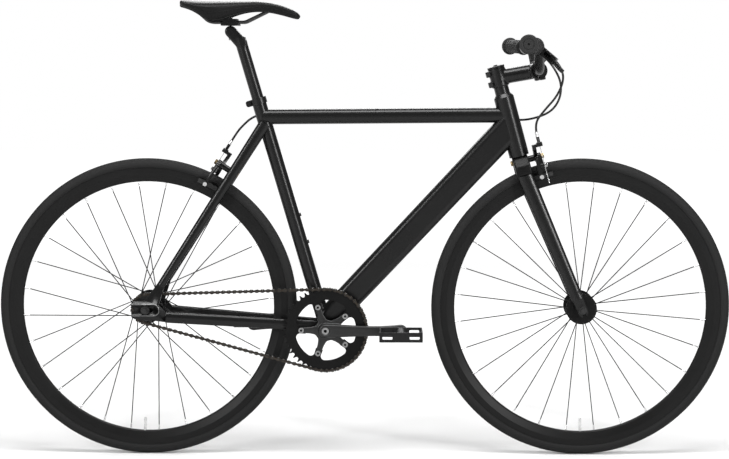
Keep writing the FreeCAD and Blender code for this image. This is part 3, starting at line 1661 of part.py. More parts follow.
def half_space():
    """A large block that covers the front of the bar clamp, from the split forward."""
    rise_way = stem_way.cross(left)
    size = 3 * stem_face_width
    corner = bar_centre - rise_way * size - left * size
    return corner, rise_way * (2 * size), left * (2 * size), size


def split_stem(whole):
    corner, rise_edge, side_edge, size = half_space()
    front = block(corner - stem_way * (stem_face_split / 2), rise_edge, side_edge, stem_way * size)
    return largest(whole.cut(front))


def make_faceplate(whole):
    corner, rise_edge, side_edge, size = half_space()
    front = block(corner + stem_way * (stem_face_split / 2), rise_edge, side_edge, stem_way * size)
    return largest(whole.common(front))


def make_stem_bolts():
    """Two clamp bolts across the ears, four faceplate bolts and the top cap bolt."""
    bolts = []
    for height in stem_bolt_heights():
        start = on_steer(height, -stem_bolt_back, -stem_ear_width / 2)
        end = on_steer(height, -stem_bolt_back, stem_ear_width / 2)
        shank = cylinder(start, end, clamp_bolt_radius)
        head = cylinder(start, start - left * clamp_bolt_head_height, clamp_bolt_head_radius)
        bolts.append(shank.fuse(head))
    for sign in (-1, 1):
        for side in (-1, 1):
            start, end = face_bolt_line(sign, side)
            shank = cylinder(start, end, clamp_bolt_radius)
            head = cylinder(end, end + stem_way * clamp_bolt_head_height, clamp_bolt_head_radius)
            bolts.append(shank.fuse(head))
    top = on_steer(stem_high + top_cap_height)
    bolts.append(cylinder(top, on_steer(stem_high + top_cap_height + clamp_bolt_radius), clamp_bolt_head_radius))
    return bolts


bar_end_point = bar_centre + V(-bar_sweep, bar_half_width, bar_rise)
bar_knee_point = bar_centre + V(-bar_knee_sweep, bar_rise_end, bar_rise - bar_upsweep)
bar_out = unit(bar_end_point - bar_knee_point)


def make_handlebar():
    """Riser bar: thick middle, two bends each side and swept grips."""
    middle = bar_centre + left * bar_rise_start
    right = [V(p.x, -p.y, p.z) for p in (bar_end_point, bar_knee_point, middle)]
    points = right + [middle, bar_knee_point, bar_end_point]
    path = bent_open(points)
    outer = sweep(path, bar_radius)
    inner = sweep(path, bar_radius - bar_wall)
    sleeve = cylinder(bar_centre - left * bar_centre_half, bar_centre + left * bar_centre_half, bar_centre_radius)
    return outer.fuse(sleeve).cut(inner)


def bent_open(points):
    """The bar's bent path, whose middle run is straight."""
    return bent(points, bar_bend_radius)


def bar_frame(sign):
    """Bar end point and outward direction on one side."""
    end = V(bar_end_point.x, sign * bar_end_point.y, bar_end_point.z)
    return end, V(bar_out.x, sign * bar_out.y, bar_out.z)


def make_grip(sign):
    """Rubber grip with a round flange at each end and a closed cap."""
    end, out = bar_frame(sign)
    start = end - out * grip_length
    cap = end + out * grip_end_thickness
    body = cylinder(start, cap, grip_radius)
    inner_flange = cylinder(start, start + out * grip_flange_thickness, grip_flange_radius - grip_flange_step)
    outer_flange = cylinder(cap - out * grip_flange_thickness, cap, grip_flange_radius)
    edge = [e for e in outer_flange.Edges if (e.CenterOfMass - cap).Length < free_gap]
    outer_flange = outer_flange.makeFillet(grip_flange_thickness / 3, edge)
    bore = cylinder(start, end, bar_radius + seat_gap)
    return fuse([body, inner_flange, outer_flange]).cut(bore)


def lever_axes(sign):
    """Bar point under the lever clamp, with outward, reach and normal directions."""
    end, out = bar_frame(sign)
    place = end - out * ((end.y - sign * lever_place) / out.y)
    droop = math.radians(lever_droop)
    reach = V(math.cos(droop), 0, -math.sin(droop))
    reach = unit(reach - out * reach.dot(out))
    return place, out, reach, out.cross(reach)


def lever_point(sign, out_run, reach_run, normal_run):
    place, out, reach, normal = lever_axes(sign)
    return place + out * out_run + reach * reach_run + normal * normal_run


def make_lever_bracket(sign):
    """Clamp band, forked block that holds the lever, pivot pin and cable barrel."""
    place, out, reach, normal = lever_axes(sign)
    half = lever_clamp_width / 2
    band = cylinder(place - out * half, place + out * half, lever_clamp_radius)
    span = lever_block_inner + lever_block_outer
    corner = lever_point(sign, -lever_block_inner, lever_block_start, -lever_block_height / 2)
    arm = block(corner, out * span, reach * (lever_block_reach - lever_block_start), normal * lever_block_height)
    corners = [edge for edge in arm.Edges if is_along(edge, normal)]
    arm = arm.makeFillet(lever_block_round, corners)
    body = band.fuse(arm).cut(cylinder(place - out * span, place + out * span, bar_radius + seat_gap))
    gap = lever_thickness / 2 + free_gap
    slot_corner = lever_point(sign, -lever_slot_inner, lever_slot_start, -gap)
    slot = block(slot_corner, out * (2 * span), reach * (2 * lever_block_reach), normal * (2 * gap))
    body = largest(body.cut(slot))
    pin_low = lever_point(sign, lever_pivot_out, lever_pivot_reach, -lever_block_height / 2)
    pin_high = lever_point(sign, lever_pivot_out, lever_pivot_reach, lever_block_height / 2)
    pin = cylinder(pin_low, pin_high, lever_pin_radius)
    body = body.cut(cylinder(pin_low, pin_high, lever_pin_radius + seat_gap))
    barrel_in = lever_point(sign, -lever_block_inner, barrel_reach, 0)
    barrel_out = lever_point(sign, -lever_block_inner - barrel_length, barrel_reach, 0)
    barrel = cylinder(barrel_in, barrel_out, barrel_radius)
    collar_end = lever_point(sign, -lever_block_inner - barrel_collar, barrel_reach, 0)
    barrel = barrel.fuse(cylinder(barrel_in, collar_end, barrel_radius + barrel_collar_step))
    barrel = barrel.cut(cylinder(barrel_in, barrel_out, wire_bore_radius))
    return [body, pin, barrel]


def is_along(edge, direction):
    ends = [vertex.Point for vertex in edge.Vertexes]
    if len(ends) < 2:
        return False
    return unit(ends[1] - ends[0]).cross(direction).Length < 0.01


def make_lever(sign):
    """Lever blade: knuckle on the pin and a long curved finger blade with a ball tip."""
    place, out, reach, normal = lever_axes(sign)
    half = lever_thickness / 2
    pivot = lever_point(sign, lever_pivot_out, lever_pivot_reach, -half)
    middle = lever_point(sign, lever_blade_mid_out, lever_blade_mid_reach, -half)
    tip = lever_point(sign, lever_tip_out, lever_tip_reach, -half)
    thick = normal * lever_thickness
    root = bar(pivot, middle, lever_knuckle_radius, lever_blade_radius, thick)
    blade = bar(middle, tip, lever_blade_radius, lever_blade_radius + lever_tip_step, thick)
    body = fuse([root, blade])
    return body.cut(cylinder(pivot, pivot + thick, lever_pin_radius + running_gap))


# Brakes


def front_caliper_point(ahead_run, side_run, up_run):
    return on_steer(front_brake_hole + up_run, ahead_run, side_run)


def rear_caliper_point(back_run, side_run, up_run):
    return rear_brake_point + rear_brake_back * back_run - left * side_run + brake_way * up_run


def wire_place(arm_start):
    """How far from the brake hole the bare wire runs, along the brake bolt."""
    return arm_start + 2 * arm_thickness + arm_layer_gap + wire_radius + seat_gap


adjuster_face = wire_place(rear_arm_start)


def pad_drop(place, rake, hole):
    """How far below the brake hole the rim's brake track is, at a place along the bolt."""
    return hole - math.sqrt(pad_radius ** 2 - (place - rake) ** 2)


def make_pad(centre, point, side, place, rake, hole):
    """A curved pad that follows the rim beside its brake track."""
    track = rim_width / 2 + pad_gap
    middle = point(place, 0, -pad_drop(place, rake, hole)) - centre
    reach = math.degrees(pad_length / 2 / pad_radius)
    start = FreeCAD.Rotation(left, -reach).multVec(unit(middle))
    out = unit(point(0, side, 0) - point(0, 0, 0))
    low = pad_radius - pad_height / 2
    high = pad_radius + pad_height / 2
    corners = []
    for radius, depth in ((low, track), (high, track), (high, track + pad_thickness), (low, track + pad_thickness)):
        corners.append(centre + start * radius + out * depth)
    return polygon_face(corners).revolve(centre, left, 2 * reach)


def make_caliper(centre, point, arm_start, rake, hole):
    """Two crossed arms on one bolt: one carries the adjuster, the other the cable anchor."""
    axis = unit(point(1, 0, 0) - point(0, 0, 0))
    up = unit(point(0, 0, 1) - point(0, 0, 0))
    across = unit(point(0, 1, 0) - point(0, 0, 0))
    thick = axis * arm_thickness
    wire = wire_place(arm_start)
    pad_place = arm_start + arm_thickness + arm_layer_gap / 2
    arms = []
    for side in (-1, 1):
        layer = arm_start if side < 0 else arm_start + arm_thickness + arm_layer_gap
        middle = layer + arm_thickness / 2
        drop = pad_drop(middle, rake, hole)
        pivot = point(layer, 0, 0)
        shoulder = point(layer, side * (arm_side - arm_lean), -arm_shoulder_drop)
        foot = point(layer, side * arm_side, -drop)
        pieces = [cylinder(pivot, pivot + thick, arm_boss_radius)]
        pieces.append(bar(pivot, shoulder, arm_bar_radius, arm_bar_radius, thick))
        pieces.append(bar(shoulder, foot, arm_bar_radius, arm_foot_radius, thick))
        if side < 0:
            eye = point(layer, -cable_side, adjuster_height)
            pieces.append(bar(pivot, eye, arm_bar_radius, arm_bar_radius, thick))
            corner = point(layer, -cable_side - arm_bar_radius, adjuster_height)
            eye_depth = wire - layer + arm_bar_radius
            pieces.append(block(corner, across * (2 * arm_bar_radius), axis * eye_depth, up * adjuster_block_height))
        else:
            anchor = point(layer, -anchor_side, -anchor_drop)
            pieces.append(bar(pivot, anchor, arm_bar_radius, arm_bar_radius, thick))
        body = fuse(pieces)
        body = body.cut(cylinder(pivot, pivot + thick, brake_bolt_radius + running_gap))
        out = across * side
        bolt_in = point(middle, side * (rim_width / 2 + pad_gap + pad_thickness), -drop)
        bolt_out = point(middle, side * (arm_side + arm_foot_radius + pad_bolt_reach), -drop)
        body = body.cut(cylinder(bolt_in, bolt_out, pad_bolt_radius + seat_gap))
        pad_bolt = cylinder(bolt_in, bolt_out, pad_bolt_radius)
        nut_seat = point(middle, side * (arm_side + arm_foot_radius), -drop)
        nut = hexagon(nut_seat, pad_bolt_radius * pad_nut_ratio, out * pad_bolt_reach)
        pad = make_pad(centre, point, side, pad_place, rake, hole)
        solids = [body, pad_bolt.fuse(nut), pad]
        if side < 0:
            low = point(wire, -cable_side, adjuster_height)
            seat = point(wire, -cable_side, adjuster_height + adjuster_block_height)
            top = seat + up * adjuster_length
            solids[0] = body.cut(cylinder(low, seat, wire_bore_radius))
            sleeve = cylinder(seat, top, adjuster_radius)
            wheel = cylinder(seat, seat + up * lockwheel_height, lockwheel_radius)
            solids.append(sleeve.fuse(wheel).cut(cylinder(seat, top, wire_bore_radius)))
        else:
            face = point(layer + arm_thickness, -anchor_side, -anchor_drop)
            back = point(layer, -anchor_side, -anchor_drop)
            washer = face + axis * (2 * (wire_radius + seat_gap))
            head = washer + axis * anchor_washer_thickness
            solids[0] = body.cut(cylinder(back, face, anchor_radius + seat_gap))
            bolt = cylinder(back, head, anchor_radius).fuse(cylinder(washer, head, anchor_washer_radius))
            solids.append(bolt.fuse(hexagon(head, anchor_head_radius, axis * anchor_head_height)))
        arms.append(solids)
    return arms


def make_brake_bolt(point, back_face, front_face, arm_start):
    """Centre bolt with a nut behind the frame, a spacer sleeve and a cap nut in front of the arms."""
    axis = unit(point(1, 0, 0) - point(0, 0, 0))
    end = arm_start + 2 * arm_thickness + arm_layer_gap + free_gap
    shank = cylinder(point(back_face, 0, 0), point(end, 0, 0), brake_bolt_radius)
    nut = hexagon(point(end, 0, 0), brake_bolt_head_radius, axis * brake_bolt_head_height)
    tail = hexagon(point(back_face, 0, 0), brake_bolt_head_radius, axis * -brake_nut_height)
    sleeve = tube(point(front_face, 0, 0), point(arm_start - free_gap, 0, 0), brake_sleeve_radius, brake_bolt_radius + seat_gap)
    return [fuse([shank, nut, tail]), sleeve]


def front_cable_points():
    """Front brake cable route: from the right lever, forward and down to the caliper."""
    top = adjuster_height + adjuster_block_height + adjuster_length
    wire = wire_place(front_arm_start)
    return [
        lever_point(-1, -lever_block_inner - barrel_length, barrel_reach, 0),
        lever_point(-1, -lever_block_inner - barrel_length - cable_lead, barrel_reach, 0),
        head_high + V(120.7, -70, 70.7),
        head_high + V(130.7, -58, 42.7),
        head_high + V(116.7, -49, 4.7),
        head_high + V(88.7, -42, -27.3),
        front_caliper_point(wire, -cable_side, top + cable_lead),
        front_caliper_point(wire, -cable_side, top),
    ]


def make_cable(name, points, caliper_point, arm_start):
    """Cable housing along its route, and the bare wire through the caliper to its free tail."""
    path, radii = route(points)
    print(name, "bend radii", [round(radius) for radius in radii])
    top = adjuster_height + adjuster_block_height + adjuster_length
    wire = wire_place(arm_start)
    start = caliper_point(wire, -cable_side, top - free_gap)
    end = caliper_point(wire, -cable_side, -anchor_drop - wire_tail)
    return path, [sweep(path, housing_radius), cylinder(start, end, wire_radius)]


front_arms = make_caliper(front_axle, front_caliper_point, front_arm_start, fork_rake, front_brake_hole)
rear_arms = make_caliper(rear_axle, rear_caliper_point, rear_arm_start, 0.0, rear_brake_hole)
save("front_arm_right", front_arms[0])
save("front_arm_left", front_arms[1])
save("rear_arm_left", rear_arms[0])
save("rear_arm_right", rear_arms[1])
save("front_brake_bolt", make_brake_bolt(front_caliper_point, -crown_depth / 2, crown_depth / 2, front_arm_start))
save("rear_brake_bolt", make_brake_bolt(rear_caliper_point, -bridge_radius, bridge_radius, rear_arm_start))
_, front_cable = make_cable("front cable", front_cable_points(), front_caliper_point, front_arm_start)
rear_path, rear_cable = make_cable("rear cable", rear_cable_points(), rear_caliper_point, rear_arm_start)
save("front_brake_cable", front_cable)
save("rear_brake_cable", rear_cable)
for name, sign in sides.items():
    save("lever_" + name, make_lever(sign))
brackets = make_lever_bracket(-1) + make_lever_bracket(1)
save("brake_lever_brackets", brackets)

cable_room = sweep(rear_path, housing_radius + free_gap)
top_tube = top_outer.cut(top_inner)
for cutter in (head_solid, seat_solid, down_solid, cable_room):
    top_tube = top_tube.cut(cutter)
down_tube = down_solid.cut(down_inner)
save("head_tube", make_head_tube())
save("seat_tube", make_seat_tube())
save("top_tube", largest(top_tube))
save("down_tube", largest(down_tube))
save("seatstays", seatstays)
save("chainstays", chainstays)
save("rear_dropouts", dropouts)
save("seatstay_bridge", largest(bridge))
save("headset_bearings", make_headset_bearings())

fork_body = make_steerer()
save("fork_steerer", fork_body)
save("fork_blades", [make_fork_blade(sign) for sign in (-1, 1)])
save("headset_spacers", make_spacers())
whole_stem = make_stem()
save("stem", split_stem(whole_stem))
save("stem_faceplate", make_faceplate(whole_stem))
save("stem_bolts", make_stem_bolts())
save("handlebar", make_handlebar())
save("grips", [make_grip(sign) for sign in (-1, 1)])


# Small frame fittings and the seat


def make_boss_screws():
    """Two bottle boss screws on the front of the seat tube."""
    screws = []
    forward = on_seat(0, 1) - bracket
    for height in (boss_low_height, boss_low_height + boss_spacing):
        face = on_seat(height, seat_tube_radius)
        root = on_seat(height, seat_tube_radius - boss_screw_sink)
        head = cylinder(root, face + forward * boss_screw_height, boss_screw_radius)
        screws.append(head.cut(seat_solid))
    return screws


def make_seat_clamp():
    """Split collar round the top of the seat tube, with two ears at the back and their bolt."""
    low = seat_tube_length - seat_collar_height
    band = cylinder(on_seat(low), seat_tube_top, seat_collar_radius)
    backward = on_seat(0, -1) - bracket
    corner = on_seat(low, 0, -seat_collar_ear_width / 2)
    ear = block(corner, left * seat_collar_ear_width, seat_up * seat_collar_height, backward * seat_collar_ear)
    ends = []
    for edge in ear.Edges:
        if is_along(edge, left) and (edge.CenterOfMass - bracket).dot(backward) > seat_collar_ear / 2:
            ends.append(edge)
    ear = ear.makeFillet(seat_collar_round, ends)
    body = fuse([band, ear]).cut(cylinder(on_seat(low), seat_tube_top, seat_tube_radius + seat_gap))
    slot = block(on_seat(low, 0, -seat_collar_slot / 2), left * seat_collar_slot, seat_up * seat_collar_height,
                 backward * (2 * seat_collar_ear))
    body = body.cut(slot)
    place = seat_collar_ear - seat_collar_height / 2
    middle = on_seat(low + seat_collar_height / 2, -place)
    half = seat_collar_ear_width / 2
    shank = cylinder(middle - left * half, middle + left * half, clamp_bolt_radius)
    head = cylinder(middle - left * half, middle - left * (half + clamp_bolt_head_height), clamp_bolt_head_radius)
    bolt = shank.fuse(head)
    hole = cylinder(middle - left * half, middle + left * half, clamp_bolt_radius + seat_gap)
    return [body.cut(hole), bolt]


post_top = on_seat(seat_tube_length + seatpost_exposed)
rail_height = post_top.z + rail_rise
saddle_top_height = rail_height + saddle_rise
clamp_middle = V(post_top.x - post_head_setback, 0, rail_height)


def make_seatpost():
    """Seatpost tube with a solid leaning head that carries the saddle clamp."""
    low = on_seat(seat_tube_length - seatpost_insert)
    shaft = cylinder(low, post_top, seatpost_radius)
    bore = cylinder(low, on_seat(seat_tube_length + seatpost_exposed - seatpost_plug), seatpost_radius - seatpost_wall)
    start = on_seat(seat_tube_length + seatpost_exposed - seatpost_plug / 2, 0, -post_head_width / 2)
    seat = V(clamp_middle.x, -post_head_width / 2, rail_height - clamp_height / 2 - post_head_radius)
    head = bar(start, seat, seatpost_radius - running_gap, post_head_radius, left * post_head_width)
    body = shaft.cut(bore).fuse(head)
    hole_low = V(clamp_middle.x, 0, rail_height - clamp_bolt_drop)
    hole_high = V(clamp_middle.x, 0, rail_height)
    body = body.cut(cylinder(hole_low, hole_high, clamp_bolt_radius + seat_gap))
    sunk = hole_low - V(0, 0, clamp_bolt_drop)
    return largest(body.cut(cylinder(sunk, hole_low, clamp_bolt_head_radius + free_gap)))


def rail_points(sign):
    rear = V(clamp_middle.x - rail_rear, sign * rail_rear_side, rail_height + rail_rear_rise)
    rear_bend = V(clamp_middle.x - rail_flat_rear, sign * rail_half_gap, rail_height)
    front_bend = V(clamp_middle.x + rail_flat_front, sign * rail_half_gap, rail_height)
    front = V(clamp_middle.x + rail_front, sign * rail_front_side, rail_height + rail_front_rise)
    return [rear, rear_bend, front_bend, front]


def make_rail(sign, radius):
    return sweep(bent(rail_points(sign), rail_bend_radius), radius)


def make_saddle_clamp():
    """Lower and upper cradle that grip both rails, drawn together by one bolt."""
    half = rail_half_gap + rail_radius + clamp_lip
    grooves = [cylinder(V(clamp_middle.x - clamp_length, sign * rail_half_gap, rail_height),
                        V(clamp_middle.x + clamp_length, sign * rail_half_gap, rail_height),
                        rail_radius + seat_gap) for sign in (-1, 1)]
    pieces = []
    bolt_hole = cylinder(clamp_middle - V(0, 0, clamp_height), clamp_middle + V(0, 0, clamp_height),
                         clamp_bolt_radius + seat_gap)
    for sign in (-1, 1):
        low = rail_height + free_gap / 2 if sign > 0 else rail_height - clamp_height / 2
        tall = clamp_height / 2 - free_gap / 2
        length = clamp_length - (clamp_step if sign > 0 else 0)
        corner = V(clamp_middle.x - length / 2, -half, low)
        cradle = block(corner, V(length, 0, 0), left * (2 * half), V(0, 0, tall))
        for groove in grooves:
            cradle = cradle.cut(groove)
        pieces.append(largest(cradle.cut(bolt_hole)))
    low = V(clamp_middle.x, 0, rail_height - clamp_bolt_drop)
    high = V(clamp_middle.x, 0, rail_height + clamp_height / 2)
    shank = cylinder(low, high, clamp_bolt_radius)
    head = cylinder(low, low - V(0, 0, clamp_bolt_head_height), clamp_bolt_head_radius)
    nut = cylinder(high, high + V(0, 0, clamp_bolt_head_height), clamp_bolt_head_radius)
    pieces.append(fuse([shank, head, nut]))
    return pieces


def saddle_section(run, half, top, low):
    """One cross-section of the saddle: crowned top, drawn-in sides and a flat foot."""
    crown = saddle_crown * half / (saddle_width / 2)
    shoulder = top - crown
    foot = half * saddle_foot_share
    waist = (half + foot) / 2 + saddle_side_bow

    def at(side, height):
        return V(run, side, height)

    edges = [
        Part.Arc(at(-half, shoulder), at(0, top), at(half, shoulder)).toShape(),
        Part.Arc(at(half, shoulder), at(waist, (shoulder + low) / 2), at(foot, low)).toShape(),
        Part.LineSegment(at(foot, low), at(-foot, low)).toShape(),
        Part.Arc(at(-foot, low), at(-waist, (shoulder + low) / 2), at(-half, shoulder)).toShape(),
    ]
    return Part.Wire(edges)


def saddle_sizes(share):
    """Half width, top and foot heights, from the tail (0) to the nose (1)."""
    wide = saddle_width / 2
    narrow = saddle_nose_width / 2
    swell = math.exp(-((share - saddle_wide_share) / saddle_taper) ** 2)
    round_off = math.sqrt(max(0.0, 1 - ((share - 0.5) / 0.5) ** saddle_end_power))
    half = (narrow + (wide - narrow) * swell) * (saddle_end_share + (1 - saddle_end_share) * round_off)
    lift = saddle_tail_lift * max(0.0, 1 - share / saddle_tail_share) ** 2
    fall = max(0.0, (share - saddle_fall_share) / (1 - saddle_fall_share)) ** saddle_fall_power
    reach = saddle_skirt_rear if share < saddle_skirt_share else saddle_skirt_front
    skirt = saddle_skirt_depth * math.exp(-((share - saddle_skirt_share) / reach) ** 2)
    deep = saddle_tail_depth + saddle_nose_gain * share - saddle_nose_thin * share ** saddle_thin_power + skirt
    thin = saddle_end_depth + (1 - saddle_end_depth) * round_off
    top = saddle_top_height + lift - saddle_nose_fall * fall - saddle_end_sink * deep * (1 - thin)
    return half, top, top - deep * thin


def make_saddle(rails):
    tail = clamp_middle.x - saddle_tail
    length = saddle_tail + saddle_nose
    wires = []
    for k in range(saddle_sections):
        share = 0.5 - 0.5 * math.cos(math.pi * k / (saddle_sections - 1))
        half, top, low = saddle_sizes(share)
        wires.append(saddle_section(tail + length * share, half, top, low))
    body = loft(wires, False)
    pocket = []
    for share in saddle_pocket_shares:
        half, top, low = saddle_sizes(share)
        run = tail + length * share
        inner = half * saddle_foot_share - saddle_wall
        ceiling = top - saddle_padding
        corners = [V(run, -inner, low - saddle_skirt_depth), V(run, inner, low - saddle_skirt_depth)]
        corners += [V(run, inner, ceiling), V(run, -inner, ceiling)]
        pocket.append(Part.makePolygon(corners + [corners[0]]))
    body = largest(body.cut(loft(pocket)))
    for rail in rails:
        body = body.cut(rail)
    return largest(body)


save("bottle_boss_screws", make_boss_screws())
save("seat_clamp", make_seat_clamp())
save("seatpost", make_seatpost())
save("saddle_clamp", make_saddle_clamp())
save("saddle_rails", [make_rail(sign, rail_radius) for sign in (-1, 1)])
save("saddle", make_saddle([make_rail(sign, rail_radius + seat_gap) for sign in (-1, 1)]))


# Output: one file for each node

os.makedirs("parts", exist_ok=True)
for name, solids in nodes.items():
    shape = solids[0] if len(solids) == 1 else Part.makeCompound(solids)
    shape.exportStep("parts/" + name + ".step")
print(len(nodes), "nodes,", sum(len(solids) for solids in nodes.values()), "solids")
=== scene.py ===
# %% [markdown]
# # A fixed gear bike
# The solids of the bike come in as a fixed frame, in metres: X points forward, Y to the rider's left
# and Z up, with the origin on the ground between the wheels. Tubes and turned parts keep their solids
# and get a finish, and forgings get a smoothed copy of theirs. What a solid shows poorly is made here:
# tyres with their tread, spokes, chain, brake cables, grips and the padded saddle.

# %% Load the frame
import math

import bmesh
import bpy
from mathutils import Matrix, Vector


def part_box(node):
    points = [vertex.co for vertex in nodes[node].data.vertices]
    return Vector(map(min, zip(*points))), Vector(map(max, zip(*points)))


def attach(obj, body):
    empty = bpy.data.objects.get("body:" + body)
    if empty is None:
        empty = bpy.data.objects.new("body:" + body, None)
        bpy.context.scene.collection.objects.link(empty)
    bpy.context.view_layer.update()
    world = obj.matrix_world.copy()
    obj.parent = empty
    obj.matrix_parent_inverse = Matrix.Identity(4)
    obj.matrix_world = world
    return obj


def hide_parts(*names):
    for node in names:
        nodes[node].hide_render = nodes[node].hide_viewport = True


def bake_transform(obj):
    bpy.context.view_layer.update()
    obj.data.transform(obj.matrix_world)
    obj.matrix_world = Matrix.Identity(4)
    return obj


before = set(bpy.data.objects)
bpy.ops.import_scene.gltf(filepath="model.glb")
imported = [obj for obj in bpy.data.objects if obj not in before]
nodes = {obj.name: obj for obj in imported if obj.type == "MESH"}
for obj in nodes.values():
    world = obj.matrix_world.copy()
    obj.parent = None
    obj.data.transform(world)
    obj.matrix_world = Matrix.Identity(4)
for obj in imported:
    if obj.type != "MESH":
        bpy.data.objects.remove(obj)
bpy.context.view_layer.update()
scene = bpy.context.scene
front_axle = sum(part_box("front_tyre"), Vector()) / 2
rear_axle = sum(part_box("rear_tyre"), Vector()) / 2
side_way = Vector((0, 1, 0))

# %% [markdown]
# ## Objects and nodes
# The studio, the finishes and the repeats are built from nodes. One helper makes a node, sets it up and
# feeds its sockets, each with a plain value or from another node.

# %% Helpers for objects and nodes
def put(name, data):
    """A new object in the scene."""
    thing = bpy.data.objects.new(name, data)
    scene.collection.objects.link(thing)
    return thing


def aim(thing, place, target):
    """Put a camera or a lamp at a place, looking at a point."""
    thing.location = place
    thing.rotation_euler = (Vector(target) - Vector(place)).to_track_quat("-Z", "Y").to_euler()


def feed(tree, node, feeds):
    """Give a node's inputs, by name or number, a plain value or another node's socket."""
    for socket, value in feeds.items():
        if isinstance(value, bpy.types.NodeSocket):
            tree.links.new(value, node.inputs[socket])
        else:
            node.inputs[socket].default_value = value


def add_node(tree, kind, feeds=None, **settings):
    """A new node with its settings and feeds."""
    node = tree.nodes.new(kind)
    for label, value in settings.items():
        setattr(node, label, value)
    feed(tree, node, feeds or {})
    return node


def math_node(tree, operation, *values):
    """What a math node makes of its values, each a number or a socket."""
    return add_node(tree, "ShaderNodeMath", dict(enumerate(values)), operation=operation).outputs[0]


def node_group(name, kind, inputs, outputs):
    """A node group with its sockets, and what its inputs give."""
    group = bpy.data.node_groups.new(name, kind)
    for direction, sockets in (("INPUT", inputs), ("OUTPUT", outputs)):
        for label, socket in sockets:
            group.interface.new_socket(label, in_out=direction, socket_type="NodeSocket" + socket)
    return group, add_node(group, "NodeGroupInput").outputs


# %% [markdown]
# ## Camera
# The photograph is taken from the drive side, a little above the top tube and a little ahead of the
# middle, with a long lens. A camera of the same place and lens gives the same small perspective:
# the near pedal looks larger than the far one, and the saddle is seen from just below its top.

# %% Camera
camera_place = (0.054, -4.2, 0.902)
camera_target = (0.001, 0.0, 0.5158)
camera_data = bpy.data.cameras.new("camera")
camera_data.sensor_width = 36.0
camera_data.lens = 91.6
camera = put("camera", camera_data)
aim(camera, camera_place, camera_target)
scene.camera = camera
print("camera at", camera_place)

# %% [markdown]
# ## Studio
# A black object on white needs little light from the front, or its paint turns grey. Most of the
# light comes from a broad lamp overhead and one behind, and a narrow strip far out on each side draws
# a bright streak along the round tubes, as on the real paint.
# The world looks white to the camera and is dimmer as a light. The floor is plain round the bike and
# glows more and more farther out, so that it fades into the white and only soft shadows stay.

# %% Studio
world_light = 0.24
floor_half = 14.0
floor_grey = 0.62
glow_start = 1.0
glow_end = 5.0
glow_strength = 0.95
white = (1, 1, 1, 1)


def area_lamp(name, place, target, size, power):
    """A soft lamp at a place, facing a point."""
    lamp = bpy.data.lights.new(name, "AREA")
    lamp.shape = "RECTANGLE"
    lamp.size = size[0]
    lamp.size_y = size[1]
    lamp.energy = power
    aim(put(name, lamp), place, target)


area_lamp("top_lamp", (0, -0.7, 2.9), (0, 0, 0.5), (2.6, 0.9), 110)
area_lamp("right_strip", (2.3, -2.4, 1.7), (0.1, 0, 0.5), (0.35, 1.6), 80)
area_lamp("left_strip", (-2.3, -2.4, 1.7), (-0.1, 0, 0.5), (0.35, 1.6), 60)
area_lamp("back_lamp", (0, 2.6, 2.2), (0, 0, 0.5), (2.4, 1.4), 60)

world = bpy.data.worlds.new("studio")
world.use_nodes = True
scene.world = world
world_tree = world.node_tree
seen = add_node(world_tree, "ShaderNodeLightPath").outputs["Is Camera Ray"]
brightness = add_node(world_tree, "ShaderNodeMapRange", {"Value": seen, "To Min": world_light, "To Max": 1.0})
feed(world_tree, world_tree.nodes["Background"], {"Color": white, "Strength": brightness.outputs["Result"]})
scene.view_settings.view_transform = "Standard"

floor_mesh = bpy.data.meshes.new("floor")
floor_corners = [(x * floor_half, y * floor_half, 0) for x, y in ((-1, -1), (1, -1), (1, 1), (-1, 1))]
floor_mesh.from_pydata(floor_corners, [], [(0, 1, 2, 3)])
floor = put("floor", floor_mesh)
floor_paint = bpy.data.materials.new("floor paint")
floor_paint.use_nodes = True
floor_tree = floor_paint.node_tree
where = add_node(floor_tree, "ShaderNodeTexCoord").outputs["Object"]
distance = add_node(floor_tree, "ShaderNodeVectorMath", {0: where}, operation="LENGTH").outputs["Value"]
glow = add_node(floor_tree, "ShaderNodeMapRange", {
    "Value": distance, "From Min": glow_start, "From Max": glow_end, "To Min": 0.0, "To Max": glow_strength})
feed(floor_tree, floor_tree.nodes["Principled BSDF"], {
    "Base Color": (floor_grey, floor_grey, floor_grey, 1), "Roughness": 0.9,
    "Emission Color": white, "Emission Strength": glow.outputs["Result"]})
floor_mesh.materials.append(floor_paint)
print("lamps:", len(bpy.data.lights))

# %% [markdown]
# ## Finishes
# Nearly all of the bike is black, and the blacks differ only in sheen and grain. One node group mixes
# two close colours in soft patches, varies the roughness with the same patches as handling does, and
# raises a fine grain. Paint, rubber, plastic and anodised metal are that group with other numbers.
# A second group draws long fine lines, as on drawn wire and turned steel, and a third gives the pores
# of the saddle's cover.

# %% Node groups for the finishes
grain_height = 0.0006
line_stretch = (1.0, 0.05, 1.0)
finish_inputs = [
    ("Colour", "Color"), ("Second Colour", "Color"), ("Patch Scale", "Float"), ("Roughness", "Float"),
    ("Roughness Spread", "Float"), ("Grain Scale", "Float"), ("Grain Depth", "Float"),
]
finish_outputs = [("Colour", "Color"), ("Roughness", "Float"), ("Normal", "Vector")]


def noise(group, place, scale, detail):
    feeds = {"Vector": place, "Scale": scale, "Detail": detail}
    return add_node(group, "ShaderNodeTexNoise", feeds).outputs["Fac"]


